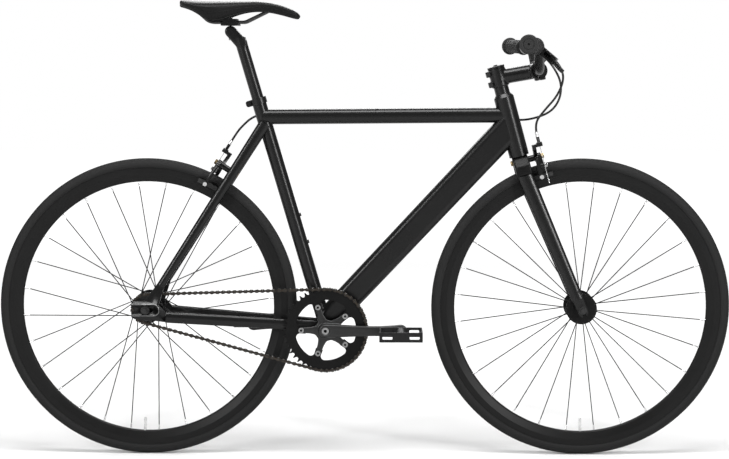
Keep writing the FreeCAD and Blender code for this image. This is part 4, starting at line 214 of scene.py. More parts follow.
def surface_group(name, relief_of):
    """Two colours mixed in patches, a roughness that varies with them, and a relief as a normal."""
    group, given = node_group(name, "ShaderNodeTree", finish_inputs, finish_outputs)
    place = add_node(group, "ShaderNodeTexCoord").outputs["Object"]
    patches = noise(group, place, given["Patch Scale"], 4.0)
    colours = {"Factor": patches, "A": given["Colour"], "B": given["Second Colour"]}
    colour = add_node(group, "ShaderNodeMix", colours, data_type="RGBA")
    swing = math_node(group, "SUBTRACT", patches, 0.5)
    rough = math_node(group, "MULTIPLY_ADD", swing, given["Roughness Spread"], given["Roughness"])
    relief = relief_of(group, place, given["Grain Scale"])
    bump = add_node(group, "ShaderNodeBump", {
        "Distance": grain_height, "Strength": given["Grain Depth"], "Height": relief})
    add_node(group, "NodeGroupOutput", {
        "Colour": colour.outputs["Result"], "Roughness": rough, "Normal": bump.outputs["Normal"]})
    return group


def coated_relief(group, place, scale):
    """Paint, anodising, plastic and rubber: an even grain."""
    return noise(group, place, scale, 3.0)


def drawn_relief(group, place, scale):
    """Bare metal: the grain is stretched into fine lines across the bike."""
    lines = add_node(group, "ShaderNodeVectorMath", {0: place, 1: line_stretch}, operation="MULTIPLY")
    return noise(group, lines.outputs[0], scale, 2.0)


def pored_relief(group, place, scale):
    """Synthetic leather: rounded cells with sunk edges."""
    feeds = {"Vector": place, "Scale": scale}
    cells = add_node(group, "ShaderNodeTexVoronoi", feeds, feature="DISTANCE_TO_EDGE")
    return math_node(group, "POWER", cells.outputs["Distance"], 0.4)


coated = surface_group("Coated surface", coated_relief)
drawn = surface_group("Drawn metal", drawn_relief)
pored = surface_group("Pored skin", pored_relief)
print("surface groups:", len(bpy.data.node_groups))


# %% The finishes themselves
def grey(level, warm=0.0):
    return (level * (1 + warm), level, level * (1 - warm), 1)


def finish(name, group, tones, patches, roughness, grain, metallic=0.0, specular=0.5):
    """A material: one surface group in front of one shader.

    The tones are two greys or colours, roughness comes with its spread, and grain is a scale and a depth.
    """
    material = bpy.data.materials.new(name)
    material.use_nodes = True
    tree = material.node_tree
    colours = [grey(tone) if isinstance(tone, float) else tone for tone in tones]
    surface = add_node(tree, "ShaderNodeGroup", node_tree=group)
    values = (*colours, patches, *roughness, *grain)
    feed(tree, surface, {label: value for (label, _), value in zip(finish_inputs, values)})
    feed(tree, tree.nodes["Principled BSDF"], {
        "Base Color": surface.outputs["Colour"], "Roughness": surface.outputs["Roughness"],
        "Normal": surface.outputs["Normal"], "Metallic": metallic, "Specular IOR Level": specular})
    return material


frame_paint = finish(
    "satin frame paint", coated, tones=(0.003, 0.0045), patches=9,
    roughness=(0.28, 0.08), grain=(1400, 0.03), specular=0.24)
fork_paint = finish(
    "satin fork paint", coated, tones=(0.003, 0.0045), patches=11,
    roughness=(0.27, 0.08), grain=(1300, 0.03), specular=0.28)
black_alloy = finish(
    "black anodised alloy", coated, tones=(0.0025, 0.0045), patches=30,
    roughness=(0.30, 0.16), grain=(2200, 0.04), specular=0.26)
crank_alloy = finish(
    "charcoal forged alloy", coated, tones=(0.011, 0.019), patches=22,
    roughness=(0.38, 0.18), grain=(1800, 0.2), metallic=0.5)
ring_black = finish(
    "hard black anodising", coated, tones=(0.0025, 0.004), patches=26,
    roughness=(0.4, 0.14), grain=(2000, 0.12), specular=0.12)
rim_black = finish(
    "satin rim anodising", drawn, tones=(0.004, 0.006), patches=12,
    roughness=(0.38, 0.14), grain=(900, 0.12), specular=0.14)
tyre_rubber = finish(
    "tyre rubber", coated, tones=(0.006, 0.0095), patches=7,
    roughness=(0.74, 0.22), grain=(1500, 0.4), specular=0.2)
grip_rubber = finish(
    "grip rubber", coated, tones=(0.0055, 0.009), patches=40,
    roughness=(0.62, 0.2), grain=(2400, 0.35), specular=0.3)
pad_rubber = finish(
    "brake pad rubber", coated, tones=(0.014, 0.024), patches=60,
    roughness=(0.8, 0.2), grain=(2600, 0.4), specular=0.3)
black_plastic = finish(
    "moulded black plastic", coated, tones=(0.004, 0.007), patches=35,
    roughness=(0.5, 0.2), grain=(2000, 0.3), specular=0.2)
housing_black = finish(
    "cable housing", coated, tones=(0.006, 0.009), patches=50,
    roughness=(0.32, 0.12), grain=(1600, 0.08), specular=0.2)
spoke_steel = finish(
    "dark spoke steel", drawn, tones=(0.006, 0.010), patches=60,
    roughness=(0.3, 0.16), grain=(1800, 0.1), specular=0.2)
bright_steel = finish(
    "bright plated steel", drawn, tones=(0.55, 0.72), patches=80,
    roughness=(0.26, 0.18), grain=(1800, 0.15), metallic=1.0)
bolt_steel = finish(
    "oiled bolt steel", drawn, tones=(0.09, 0.15), patches=90,
    roughness=(0.32, 0.2), grain=(1800, 0.2), metallic=1.0)
dull_steel = finish(
    "dull grey steel", drawn, tones=(0.22, 0.34), patches=70,
    roughness=(0.36, 0.2), grain=(1800, 0.2), metallic=1.0)
black_steel = finish(
    "blackened steel", drawn, tones=(0.02, 0.04), patches=70,
    roughness=(0.36, 0.2), grain=(1800, 0.15), metallic=0.7)
link_bronze = finish(
    "oiled bronze links", drawn, tones=(grey(0.024, 0.16), grey(0.044, 0.2)), patches=90,
    roughness=(0.34, 0.2), grain=(2000, 0.15), metallic=0.9)
link_dark = finish(
    "dark inner links", drawn, tones=(grey(0.008, 0.1), grey(0.014, 0.14)), patches=90,
    roughness=(0.38, 0.2), grain=(2000, 0.15), metallic=0.6)
brass_gold = finish(
    "brass", drawn, tones=((0.13, 0.095, 0.045, 1), (0.2, 0.15, 0.08, 1)), patches=80,
    roughness=(0.3, 0.15), grain=(1800, 0.15), metallic=1.0)
saddle_skin = finish(
    "saddle cover", pored, tones=(0.0025, 0.004), patches=18,
    roughness=(0.46, 0.12), grain=(950, 0.05), specular=0.13)
print("finishes:", len(bpy.data.materials))

# %% [markdown]
# ## Tools for shapes
# A few small helpers make most pieces. A skin of faces joins rings of vertices: a tube is rings along a
# line of points, and a lathe is one outline turned about the wheel axis. A node tree copies one shape
# round an axle. Finished pieces sit at the origin with their place in the mesh, as the solids do.

# %% Helpers for meshes
def add_piece(name, mesh, body, slot, *replaced):
    """Link a finished mesh, let it ride on a body and stand for the solids it replaces."""
    piece = put(name, mesh)
    if body:
        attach(piece, body)
    if replaced:
        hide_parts(*replaced)
    return piece


def plain_mesh(name, build, materials=()):
    """A mesh from a bmesh, with its materials."""
    mesh = bpy.data.meshes.new(name)
    build.to_mesh(mesh)
    build.free()
    for material in materials:
        mesh.materials.append(material)
    return mesh


def smooth_mesh(name, build, materials, sharp):
    """A mesh with smooth shading up to an angle in degrees."""
    mesh = plain_mesh(name, build, materials)
    mesh.shade_smooth()
    mesh.set_sharp_from_angle(angle=math.radians(sharp))
    return mesh


def shell(name, material, add, *sizes, sharp=35):
    """A smooth mesh of one material, with its faces pointing outwards, from one of the add functions."""
    build = bmesh.new()
    add(build, *sizes)
    bmesh.ops.recalc_face_normals(build, faces=build.faces)
    return smooth_mesh(name, build, [material], sharp)


def joined(name, meshes):
    """One mesh from several, each keeping its own material."""
    build = bmesh.new()
    materials = []
    for mesh in meshes:
        start = len(build.faces)
        build.from_mesh(mesh)
        build.faces.ensure_lookup_table()
        slots = []
        for material in mesh.materials:
            if material not in materials:
                materials.append(material)
            slots.append(materials.index(material))
        for face in build.faces[start:]:
            face.material_index = slots[min(face.material_index, len(slots) - 1)]
    return plain_mesh(name, build, materials)


def baked(holder):
    """The plain mesh that an object's curve or modifiers make; the object goes."""
    bpy.context.view_layer.update()
    mesh = bpy.data.meshes.new_from_object(holder.evaluated_get(bpy.context.evaluated_depsgraph_get()))
    holder.modifiers.clear()
    bpy.data.objects.remove(holder)
    return mesh


def skin(build, rings, closed=False):
    """Faces between rings of vertices, with a lid at both ends unless the last ring meets the first."""
    for near, far in zip(rings, rings[1:] + rings[:1] if closed else rings[1:]):
        for k in range(len(near)):
            after = (k + 1) % len(near)
            build.faces.new((near[k], near[after], far[after], far[k]))
    if not closed:
        build.faces.new(rings[0][::-1])
        build.faces.new(rings[-1])


def add_ring(build, centre, across, up, radius, sides):
    """Vertices on a circle."""
    turns = [2 * math.pi * k / sides for k in range(sides)]
    ways = [across * math.cos(turn) + up * math.sin(turn) for turn in turns]
    return [build.verts.new(centre + way * radius) for way in ways]


def ring_frames(points):
    """A pair of directions across the line at each point, turned as little as possible on the way."""
    frames = []
    across = None
    for index in range(len(points)):
        before = points[max(index - 1, 0)]
        after = points[min(index + 1, len(points) - 1)]
        run = (after - before).normalized()
        if across is None:
            helper = side_way if abs(run.dot(side_way)) < 0.9 else Vector((0, 0, 1))
            across = run.cross(helper).normalized()
        across = (across - run * across.dot(run)).normalized()
        frames.append((across, run.cross(across)))
    return frames


def add_tube(build, points, radii, sides):
    """Add a closed round tube along points, with a radius for each."""
    rings = []
    for point, radius, (across, up) in zip(points, radii, ring_frames(points)):
        rings.append(add_ring(build, point, across, up, radius, sides))
    skin(build, rings)


def add_stepped(build, start, way, stations, sides):
    """Add a tube along a straight line, through (distance, radius) stations."""
    add_tube(build, [start + way * run for run, _ in stations], [radius for _, radius in stations], sides)


def add_turned(build, start, way, stations, sides):
    """Turn (distance, radius) stations, which may run to and fro, about a straight line."""
    across = way.orthogonal().normalized()
    up = way.cross(across)
    skin(build, [add_ring(build, start + way * run, across, up, radius, sides) for run, radius in stations])


def add_lathe(build, outline, centre, steps):
    """Turn a closed (radius, side) outline about the axle through centre."""
    rings = []
    for k in range(steps):
        turn = 2 * math.pi * k / steps
        way = Vector((math.cos(turn), 0, math.sin(turn)))
        rings.append([build.verts.new(centre + way * radius + side_way * side) for radius, side in outline])
    skin(build, rings, closed=True)


def at_angle(centre, radius, degrees, side=0.0):
    """A point at an angle from straight ahead, seen from the drive side."""
    turn = math.radians(degrees)
    return centre + Vector((radius * math.cos(turn), side, radius * math.sin(turn)))


# %% Node trees for what repeats
def geometry_tree(name, *sizes):
    """A geometry tree that takes a shape, sizes and a material, and what its inputs give."""
    shape = ("Geometry", "Geometry")
    return node_group(name, "GeometryNodeTree", [shape, *sizes, ("Material", "Material")], [shape])


def copies_on(tree, given, points, turn, chosen):
    """Put a copy of the given shape on each chosen point, turned about the side way, real and painted."""
    spin = add_node(tree, "FunctionNodeAxisAngleToRotation", {"Axis": (0, 1, 0), "Angle": turn})
    copies = add_node(tree, "GeometryNodeInstanceOnPoints", {
        "Points": points, "Selection": chosen, "Instance": given["Geometry"],
        "Rotation": spin.outputs["Rotation"]})
    real = add_node(tree, "GeometryNodeRealizeInstances", {"Geometry": copies.outputs["Instances"]})
    paint = add_node(tree, "GeometryNodeSetMaterial", {
        "Geometry": real.outputs["Geometry"], "Material": given["Material"]})
    add_node(tree, "NodeGroupOutput", {"Geometry": paint.outputs["Geometry"]})
    return tree


def make_ring_tree():
    """Copies of one shape, evenly spaced round an axle that runs across the bike."""
    sizes = (("Count", "Int"), ("First Turn", "Float"), ("Centre", "Vector"))
    tree, given = geometry_tree("Copies round an axle", *sizes)
    line = add_node(tree, "GeometryNodeMeshLine", {
        "Count": given["Count"], "Start Location": given["Centre"], "Offset": (0, 0, 0)})
    index = add_node(tree, "GeometryNodeInputIndex").outputs[0]
    step = math_node(tree, "DIVIDE", -2 * math.pi, given["Count"])
    share = math_node(tree, "MULTIPLY", index, step)
    turn = math_node(tree, "SUBTRACT", share, given["First Turn"])
    return copies_on(tree, given, line.outputs["Mesh"], turn, True)


def make_link_tree():
    """Copies of one link at every second pin, turned the way that the chain runs there."""
    tree, given = geometry_tree("Links along a chain", ("Pins", "Object"), ("First", "Int"))
    line = add_node(tree, "GeometryNodeObjectInfo", {"Object": given["Pins"]})
    index = add_node(tree, "GeometryNodeInputIndex").outputs[0]
    chosen = math_node(tree, "COMPARE", math_node(tree, "MODULO", index, 2), given["First"])
    turn = add_node(tree, "GeometryNodeInputNamedAttribute", {"Name": "turn"}, data_type="FLOAT")
    return copies_on(tree, given, line.outputs["Geometry"], turn.outputs["Attribute"], chosen)


def grown(name, seed, tree, **sizes):
    """The plain mesh that a node tree makes from a seed mesh, in the seed's own material."""
    sizes["material"] = seed.materials[0]
    holder = put(name, seed)
    growth = holder.modifiers.new("growth", "NODES")
    growth.node_group = tree
    for item in tree.interface.items_tree:
        label = item.name.lower().replace(" ", "_")
        if item.in_out == "INPUT" and label in sizes:
            growth[item.identifier] = sizes[label]
    holder.update_tag()
    return baked(holder)


ring_tree = make_ring_tree()
link_tree = make_link_tree()
print("trees:", ring_tree.name, "and", link_tree.name)

# %% [markdown]
# ## Tyres
# A slick town tyre: a round casing, two shallow grooves on each side of the crown and a band of thin
# slanted ribs on the shoulders. The casing is turned on a lathe from its outline, and the ring tree
# copies one rib of each side all the way round.

# %% Tyres
tyre_radius = 0.339
casing_radius = 0.014
tyre_wall = 0.0026
rim_edge_radius = 0.3184
bead_radius = 0.3114
bead_half = 0.0095
bead_inside = 0.0065
crown_core = tyre_radius - casing_radius
crown_steps = 96
lining_steps = 24
groove_turns = (16.0, 34.0)
groove_depth = 0.0006
groove_half = 1.6
tyre_steps = 240
rib_count = 150
rib_steps = 6
rib_turn_low = 42.0
rib_turn_high = 66.0
rib_root = 0.0004
rib_lift = 0.0005
rib_half = 0.0011
rib_slant = 0.004


def casing_point(radius, degrees):
    """A point of the round casing as (radius, side), at an angle from the crown."""
    turn = math.radians(degrees)
    return crown_core + radius * math.cos(turn), radius * math.sin(turn)


def edge_turn(radius):
    """The angle from the crown at which the casing goes into the rim."""
    return math.degrees(math.acos((rim_edge_radius - crown_core) / radius))


def casing_outline():
    """The tyre's closed outline in (radius, side), from one bead over the crown to the other."""
    outline = [(bead_radius, -bead_half), (rim_edge_radius, -bead_half)]
    edge = edge_turn(casing_radius)
    for k in range(crown_steps + 1):
        turn = -edge + 2 * edge * k / crown_steps
        sunk = any(abs(abs(turn) - groove) < groove_half for groove in groove_turns)
        outline.append(casing_point(casing_radius - (groove_depth if sunk else 0.0), turn))
    outline += [(rim_edge_radius, bead_half), (bead_radius, bead_half), (bead_radius, bead_inside)]
    lining = casing_radius - tyre_wall
    edge = edge_turn(lining)
    for k in range(lining_steps + 1):
        outline.append(casing_point(lining, edge - 2 * edge * k / lining_steps))
    return outline + [(bead_radius, -bead_inside)]


def add_rib(build, sign):
    """Add one thin slanted rib on a shoulder, straight ahead on a wheel at the origin."""
    rings = []
    for k in range(rib_steps + 1):
        share = k / rib_steps
        turn = rib_turn_low + (rib_turn_high - rib_turn_low) * share
        slant = rib_slant * (share - 0.5)
        root = casing_point(casing_radius - rib_root, turn)
        top = casing_point(casing_radius + rib_lift * math.sin(math.pi * share), turn)
        corners = ((root, -rib_half), (root, rib_half), (top, rib_half), (top, -rib_half))
        rings.append([build.verts.new((reach, sign * side, half + slant)) for (reach, side), half in corners])
    skin(build, rings)


def make_tyre(name, axle, body):
    parts = [shell(name, tyre_rubber, add_lathe, casing_outline(), axle, tyre_steps, sharp=50)]
    for sign in (-1, 1):
        rib = shell("rib", tyre_rubber, add_rib, sign)
        turn = math.pi / rib_count * (sign + 1) / 2
        parts.append(grown(name, rib, ring_tree, count=rib_count, first_turn=turn, centre=axle))
    add_piece(name + "_casing", joined(name, parts), body, "tyre", name)


make_tyre("front_tyre", front_axle, "front_wheel")
make_tyre("rear_tyre", rear_axle, "rear_wheel")
print("tyre ribs:", 4 * rib_count)

# %% [markdown]
# ## Spokes
# Twenty-eight spokes a wheel. The front ones run straight from the flange to the rim, and the rear ones
# cross two others so that they can drive the wheel. Each kind is modelled once: a head in the flange, a
# tight elbow, the wire and a nipple. The ring tree copies the kind to its share of the holes.

# %% Spokes and nipples
spoke_count = 28
spoke_radius = 0.00115
spoke_sides = 10
head_radius = 0.0019
head_reach = 0.0007
hole_radius = 0.0315
flange_half = 0.0016
elbow_lift = 0.0009
elbow_gap = 0.00002
elbow_bend = 0.0017
bend_steps = 6
seat_radius = 0.2889
nipple_length = 0.015
nipple_sides = 12
nipple_outline = [
    (0.0, 0.0019), (0.001, 0.002), (0.0105, 0.002), (0.0118, 0.0017), (0.0135, 0.0016), (0.015, 0.0013),
]


def spoke_seed(flange, side, swing, crossings):
    """One spoke and its nipple, for a hole straight ahead in the rim of a wheel at the origin."""
    lead = swing * crossings * 2 * 360.0 / spoke_count
    out = side_way * (side * (swing if crossings else -1))
    hole = at_angle(Vector(), hole_radius, lead, side * flange)
    lift = elbow_lift if crossings and swing > 0 else elbow_gap
    elbow = hole + out * (flange_half + spoke_radius + lift)
    seat = Vector((seat_radius, 0, 0))
    run = (seat - elbow).normalized()
    points = [hole - out * (flange_half + head_reach)]
    for k in range(bend_steps + 1):
        share = k / bend_steps
        points.append(elbow - out * (elbow_bend * (1 - share) ** 2) + run * (elbow_bend * share ** 2))
    points += [seat - run * nipple_length, seat]
    radii = [head_radius] + [spoke_radius] * (len(points) - 1)
    wire = shell("spoke", spoke_steel, add_tube, points, radii, spoke_sides)
    return wire, shell("nipple", bright_steel, add_stepped, seat, -run, nipple_outline, nipple_sides)


def make_spokes(name, axle, body, flange, first_angle, crossings):
    """All spokes of a wheel: four kinds where they cross, two where they are radial."""
    parts = []
    kinds = 4 if crossings else 2
    for k in range(kinds):
        side = -1 if k % 2 == 0 else 1
        swing = 1 if k < 2 else -1
        turn = math.radians(first_angle + k * 360.0 / spoke_count)
        for seed in spoke_seed(flange, side, swing, crossings):
            copies = spoke_count // kinds
            parts.append(grown(name, seed, ring_tree, count=copies, first_turn=turn, centre=axle))
    add_piece(name + "_laced", joined(name, parts), body, "dark_steel", name)


make_spokes("front_spokes", front_axle, "front_wheel", flange=0.033, first_angle=277.0, crossings=0)
make_spokes("rear_spokes", rear_axle, "rear_wheel", flange=0.027, first_angle=274.1, crossings=2)
print("spokes:", 2 * spoke_count)

# %% [markdown]
# ## Chain
# A bicycle chain is two kinds of link by turns: outer plates that hold the pins, and inner plates that
# hold the rollers. The pins lie on two pitch circles and the two straight runs between them. One vertex
# stands at each pin and stores which way its link points, and a node tree puts every second link there.

# %% Where the pins are
chain_pitch = 0.0127
ring_teeth = 46
sprocket_teeth = 16
chain_links = 96
chain_side = -0.042
bracket = sum(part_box("bracket_spindle"), Vector()) / 2


def pitch_radius(teeth):
    return chain_pitch / (2 * math.sin(math.pi / teeth))


def wheel_pin(centre, teeth, first, count=0):
    """The place of a pin on a toothed wheel, a count of teeth on from a first angle."""
    return at_angle(centre, pitch_radius(teeth), first - count * 360 / teeth, chain_side)


def chain_pins():
    """Pin places in order: round the ring, along the lower run, round the sprocket and back."""
    span = math.hypot(bracket.x - rear_axle.x, bracket.z - rear_axle.z)
    lean = math.asin((pitch_radius(ring_teeth) - pitch_radius(sprocket_teeth)) / span)
    base = math.atan2(bracket.z - rear_axle.z, bracket.x - rear_axle.x)
    up = math.degrees(base + math.pi / 2 + lean)
    down = math.degrees(base - math.pi / 2 - lean)
    straight = span * math.cos(lean) / chain_pitch
    ring_share = ring_teeth * (0.5 + lean / math.pi)
    sprocket_share = sprocket_teeth * (0.5 - lean / math.pi)
    lower_run = (wheel_pin(bracket, ring_teeth, down), wheel_pin(rear_axle, sprocket_teeth, down))
    upper_run = (wheel_pin(rear_axle, sprocket_teeth, up), wheel_pin(bracket, ring_teeth, up))
    stretches = (
        (ring_share, lambda count: wheel_pin(bracket, ring_teeth, up, count)),
        (straight, lambda count: lower_run[0].lerp(lower_run[1], count / straight)),
        (sprocket_share, lambda count: wheel_pin(rear_axle, sprocket_teeth, down, count)),
        (straight, lambda count: upper_run[0].lerp(upper_run[1], count / straight)),
    )
    pins = []
    for k in range(chain_links):
        count = float(k)
        for share, place in stretches:
            if count < share:
                pins.append(place(count))
                break
            count -= share
    return pins


pins = chain_pins()
pin_mesh = bpy.data.meshes.new("chain pins")
pin_mesh.from_pydata(pins, [], [])
link_turn = pin_mesh.attributes.new("turn", "FLOAT", "POINT")
for index, pin in enumerate(pins):
    run = pins[(index + 1) % chain_links] - pin
    link_turn.data[index].value = -math.atan2(run.z, run.x)
print("chain pins:", len(pins))

# %% The links
plate_thickness = 0.001
plate_radius = 0.0044
plate_arc = 130
plate_steps = 8
plate_rim = 0.00018
waist_radius = 0.0019
roller_radius = 0.003875
pin_radius = 0.0018
bar_rim = 0.0003
bar_sides = 20
inner_face = 0.00165
outer_face = 0.0028
pin_reach = outer_face + plate_thickness + 0.0004


def add_plate(build, side):
    """One figure-eight plate from the origin to one pitch ahead, with bevelled rims."""
    outline = []
    for centre, middle_turn, waist in ((chain_pitch, 0, waist_radius), (0.0, 180, -waist_radius)):
        for k in range(plate_steps + 1):
            turn = middle_turn - plate_arc / 2 + k * plate_arc / plate_steps
            outline.append(at_angle(Vector((centre, 0, 0)), plate_radius, turn))
        outline.append(Vector((chain_pitch / 2, 0, waist)))
    middle = Vector((chain_pitch / 2, 0, 0))
    far_rim = plate_thickness - plate_rim
    rings = []
    for offset, shrink in ((0, plate_rim), (plate_rim, 0), (far_rim, 0), (plate_thickness, plate_rim)):
        ring = []
        for point in outline:
            inward = (middle - point).normalized() * shrink
            ring.append(build.verts.new(point + inward + side_way * (side + offset)))
        rings.append(ring)
    skin(build, rings)


def add_plates(build, face):
    """The two plates of a link."""
    for side in (face, -face - plate_thickness):
        add_plate(build, side)


def add_bars(build, reach, radius):
    """The two pins or rollers of a link, with softened rims."""
    soft = min(bar_rim, reach / 3)
    stations = [(-reach, radius - soft), (-reach + soft, radius)]
    stations += [(reach - soft, radius), (reach, radius - soft)]
    for x in (0.0, chain_pitch):
        add_stepped(build, Vector((x, 0, 0)), side_way, stations, bar_sides)


pin_line = put("chain pins", pin_mesh)
chain_parts = []
for first, material, add, *sizes in (
    (0, link_bronze, add_plates, outer_face),
    (0, black_steel, add_bars, pin_reach, pin_radius),
    (1, link_dark, add_plates, inner_face),
    (1, dull_steel, add_bars, inner_face, roller_radius),
):
    seed = shell("link", material, add, *sizes)
    chain_parts.append(grown("chain", seed, link_tree, pins=pin_line, first=first))
bpy.data.objects.remove(pin_line)
add_piece("chain", joined("chain", chain_parts), "frame", "chain_steel",
          "chain_outer_links", "chain_inner_links")
print("chain links:", chain_links)

# %% [markdown]
# ## Brake cables
# Each brake has one housing of fixed length from its lever to its caliper. The route is a smooth spline
# through a few control points, straight out of the lever's barrel and straight into the adjuster. The
# rear one dips in front of the head tube, runs inside the top tube and comes out by the seat. A bare
# wire goes on through the caliper and ends in a short tail.

# %% Cables
housing_radius = 0.0025
housing_sides = 16
wire_radius = 0.0008
wire_tail = 0.108
spline_steps = 10
ferrule_outline = [
    (-0.011, 0.0026), (-0.0108, 0.0031), (-0.003, 0.0031), (-0.0028, 0.0036), (-0.0004, 0.0036), (0, 0.003),
]
cap_outline = [
    (-0.012, 0.001), (-0.0115, 0.0013), (-0.006, 0.0013), (-0.005, 0.001), (-0.004, 0.0013), (0, 0.0012),
]
front_route = [
    (0.4102, -0.1182, 0.9058), (0.4159, -0.0887, 0.9051), (0.436, -0.07, 0.886), (0.446, -0.058, 0.858),
    (0.432, -0.049, 0.82), (0.404, -0.042, 0.788), (0.3811, -0.036, 0.7571), (0.389, -0.036, 0.7281),
]
rear_route = [
    (0.4102, 0.1182, 0.9058), (0.4159, 0.0887, 0.9051), (0.432, 0.056, 0.884), (0.449, 0.046, 0.85),
    (0.447, 0.039, 0.814), (0.428, 0.035, 0.784), (0.392, 0.034, 0.768), (0.352, 0.033, 0.762),
    (0.2681, 0.026, 0.7713), (0.2201, 0.011, 0.7753), (0.1721, 0.004, 0.7753), (0.1044, 0.002, 0.7751),
    (-0.0064, 0.003, 0.7723), (-0.136, 0.006, 0.7749), (-0.174, 0.017, 0.7789), (-0.212, 0.026, 0.7809),
    (-0.254, 0.033, 0.772), (-0.282, 0.038, 0.746), (-0.2923, 0.036, 0.7324), (-0.3084, 0.036, 0.7072),
]


def spline_points(name, route):
    """Points along a smooth spline with the route as its control points."""
    curve = bpy.data.curves.new(name, "CURVE")
    curve.dimensions = "3D"
    spline = curve.splines.new("NURBS")
    spline.points.add(len(route) - 1)
    for point, place in zip(spline.points, route):
        point.co = (*place, 1.0)
    spline.order_u = 3
    spline.use_endpoint_u = True
    spline.resolution_u = spline_steps
    return [vertex.co.copy() for vertex in baked(put(name, curve)).vertices]


def path_length(points):
    return sum((after - before).length for before, after in zip(points, points[1:]))


def make_wire(name, route):
    """Ferrule on the housing's end, bare wire to its tail and the crimped cap; and a point at the caliper."""
    end = Vector(route[-1])
    way = (end - Vector(route[-2])).normalized()
    bare = [(share * wire_tail, wire_radius) for share in (0, 0.5, 1)]
    cap = [(wire_tail + run, radius) for run, radius in cap_outline]
    parts = []
    for stations, sides in ((ferrule_outline, 16), (bare, 10), (cap, 12)):
        parts.append(shell("wire", bright_steel, add_stepped, end, way, stations, sides))
    piece = add_piece(name + "_wire", joined(name, parts), None, "bright_steel")
    return piece, end + way * (wire_tail * 0.4)


def make_housing(name, route):
    points = spline_points(name, route)
    mesh = shell(name, housing_black, add_tube, points, [housing_radius] * len(points), housing_sides)
    piece = add_piece(name + "_housing", mesh, None, "cable_housing", name)
    print(name, "length", round(path_length(points), 3))
    return piece, points


front_housing, front_line = make_housing("front_brake_cable", front_route)
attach(front_housing, "steering")
front_wire, _ = make_wire("front_brake_cable", front_route)
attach(front_wire, "steering")
rear_housing, rear_line = make_housing("rear_brake_cable", rear_route)
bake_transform(rear_housing)
rear_wire, rear_anchor = make_wire("rear_brake_cable", rear_route)
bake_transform(rear_wire)

# %% [markdown]
# ## Grips
# Soft rubber sleeves with a flange at each end. The ribs are part of the turned outline, so they stay
# sharp in any light, and the closed end has a ring groove and a small vent hole.

# %% Grips
grip_length = 0.124
grip_core = 0.0152
grip_sides = 40
rib_pitch = 0.0042
rib_height = 0.0009
rib_start = 0.006
rib_rest = 0.012


def grip_outline(length):
    """(distance from the outer end, radius) stations along a grip, ribs included."""
    stations = [(-0.0006, 0.0010), (-0.0006, 0.0022), (-0.0034, 0.0025), (-0.0036, 0.0104), (-0.0028, 0.0108)]
    stations += [(-0.0028, 0.0118), (-0.0036, 0.0122), (-0.0036, 0.015), (-0.0038, 0.016), (-0.0038, 0.019)]
    stations += [(-0.0030, 0.0202), (-0.0016, 0.0205), (0.0004, 0.0203), (0.0012, 0.0190), (0.0016, 0.0162)]
    top = grip_core + rib_height
    run = rib_start
    while run < length - rib_rest:
        stations += [(run, grip_core), (run + 0.0008, top), (run + 0.0024, top), (run + 0.0032, grip_core)]
        run += rib_pitch
    stations += [(length - 0.0050, 0.0158), (length - 0.0046, 0.0180), (length - 0.0036, 0.0185)]
    stations += [(length - 0.0010, 0.0185), (length, 0.0178), (length, 0.0115)]
    return stations


def make_grips():
    parts = []
    for sign in (-1, 1):
        end = Vector((0.3488, sign * 0.299, 0.9327))
        knee = Vector((0.3858, sign * 0.108, 0.9277))
        way = (knee - end).normalized()
        parts.append(shell("grip", grip_rubber, add_turned, end, way, grip_outline(grip_length), grip_sides,
                           sharp=50))
    add_piece("grips_ribbed", joined("grips", parts), "steering", "grip_rubber", "grips")


make_grips()
print("grips made")

# %% [markdown]
# ## Saddle
# A firm foam pad under a stretched cover, on a moulded shell. Seen from the side it has a slightly lifted
# tail, deep skirts over the rail ends and a nose that drops. Each cross-section is drawn as half an
# outline: crowned top, rounded shoulder, drawn-in skirt, rolled lower edge and the hollow underside.
# A seam runs along each skirt, and a trim strip closes the lower edge.

# %% Saddle
saddle_low, saddle_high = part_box("saddle")
saddle_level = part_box("saddle_rails")[0].z + 0.0505
saddle_half = 0.073
saddle_nose_half = 0.019
saddle_crown = 0.009
saddle_padding = 0.020
saddle_rows = 84
tail_lift = 0.0052
nose_fall = 0.027
skirt_depth = 0.023
skirt_place = 0.28
pad_depth = 0.018
tail_round = 0.03
nose_round = 0.035
seam_place = 5
seam_radius = 0.0007
trim_place = 7
trim_radius = 0.0012
strip_rest = 6
strip_sides = 8
outline_steps = 5


def saddle_sizes(share):
    """Half width, top and lowest height of the saddle, from its tail (0) to its nose (1)."""
    swell = math.exp(-((share - 0.2) / 0.38) ** 2)
    ends = math.sqrt(max(0.0, 1 - (2 * share - 1) ** 8))
    half = (saddle_nose_half + (saddle_half - saddle_nose_half) * swell) * (0.35 + 0.65 * ends)
    lift = tail_lift * max(0.0, 1 - share / 0.3) ** 2
    fall = nose_fall * max(0.0, (share - 0.6) / 0.4) ** 2.2
    skirt_spread = 0.13 if share < skirt_place else 0.2
    skirt = skirt_depth * math.exp(-((share - skirt_place) / skirt_spread) ** 2)
    deep = pad_depth + 0.005 * share - 0.008 * share ** 12 + skirt
    thin = 0.75 + 0.25 * ends
    top = saddle_level + lift - fall - 0.4 * deep * (1 - thin)
    return half, top, top - deep * thin


def half_outline(share):
    """Key points of one side of a section as (side, height), from the top round to the underside."""
    half, top, low = saddle_sizes(share)
    crown = saddle_crown * half / saddle_half
    wall = top - crown - low
    hollow = max(0.0012, top - saddle_padding - low)
    keys = [(0.0, top), (0.45, top - 0.14 * crown), (0.78, top - 0.55 * crown)]
    keys += [(0.94, top - crown - 0.05 * wall), (0.985, top - crown - 0.22 * wall)]
    keys += [(0.95, top - crown - 0.52 * wall), (0.885, low + 0.12 * wall), (0.82, low)]
    keys += [(0.775, low + 0.0008), (0.7, low + 0.4 * hollow), (0.58, low + hollow), (0.0, low + hollow)]
    return [(side * half, height) for side, height in keys]


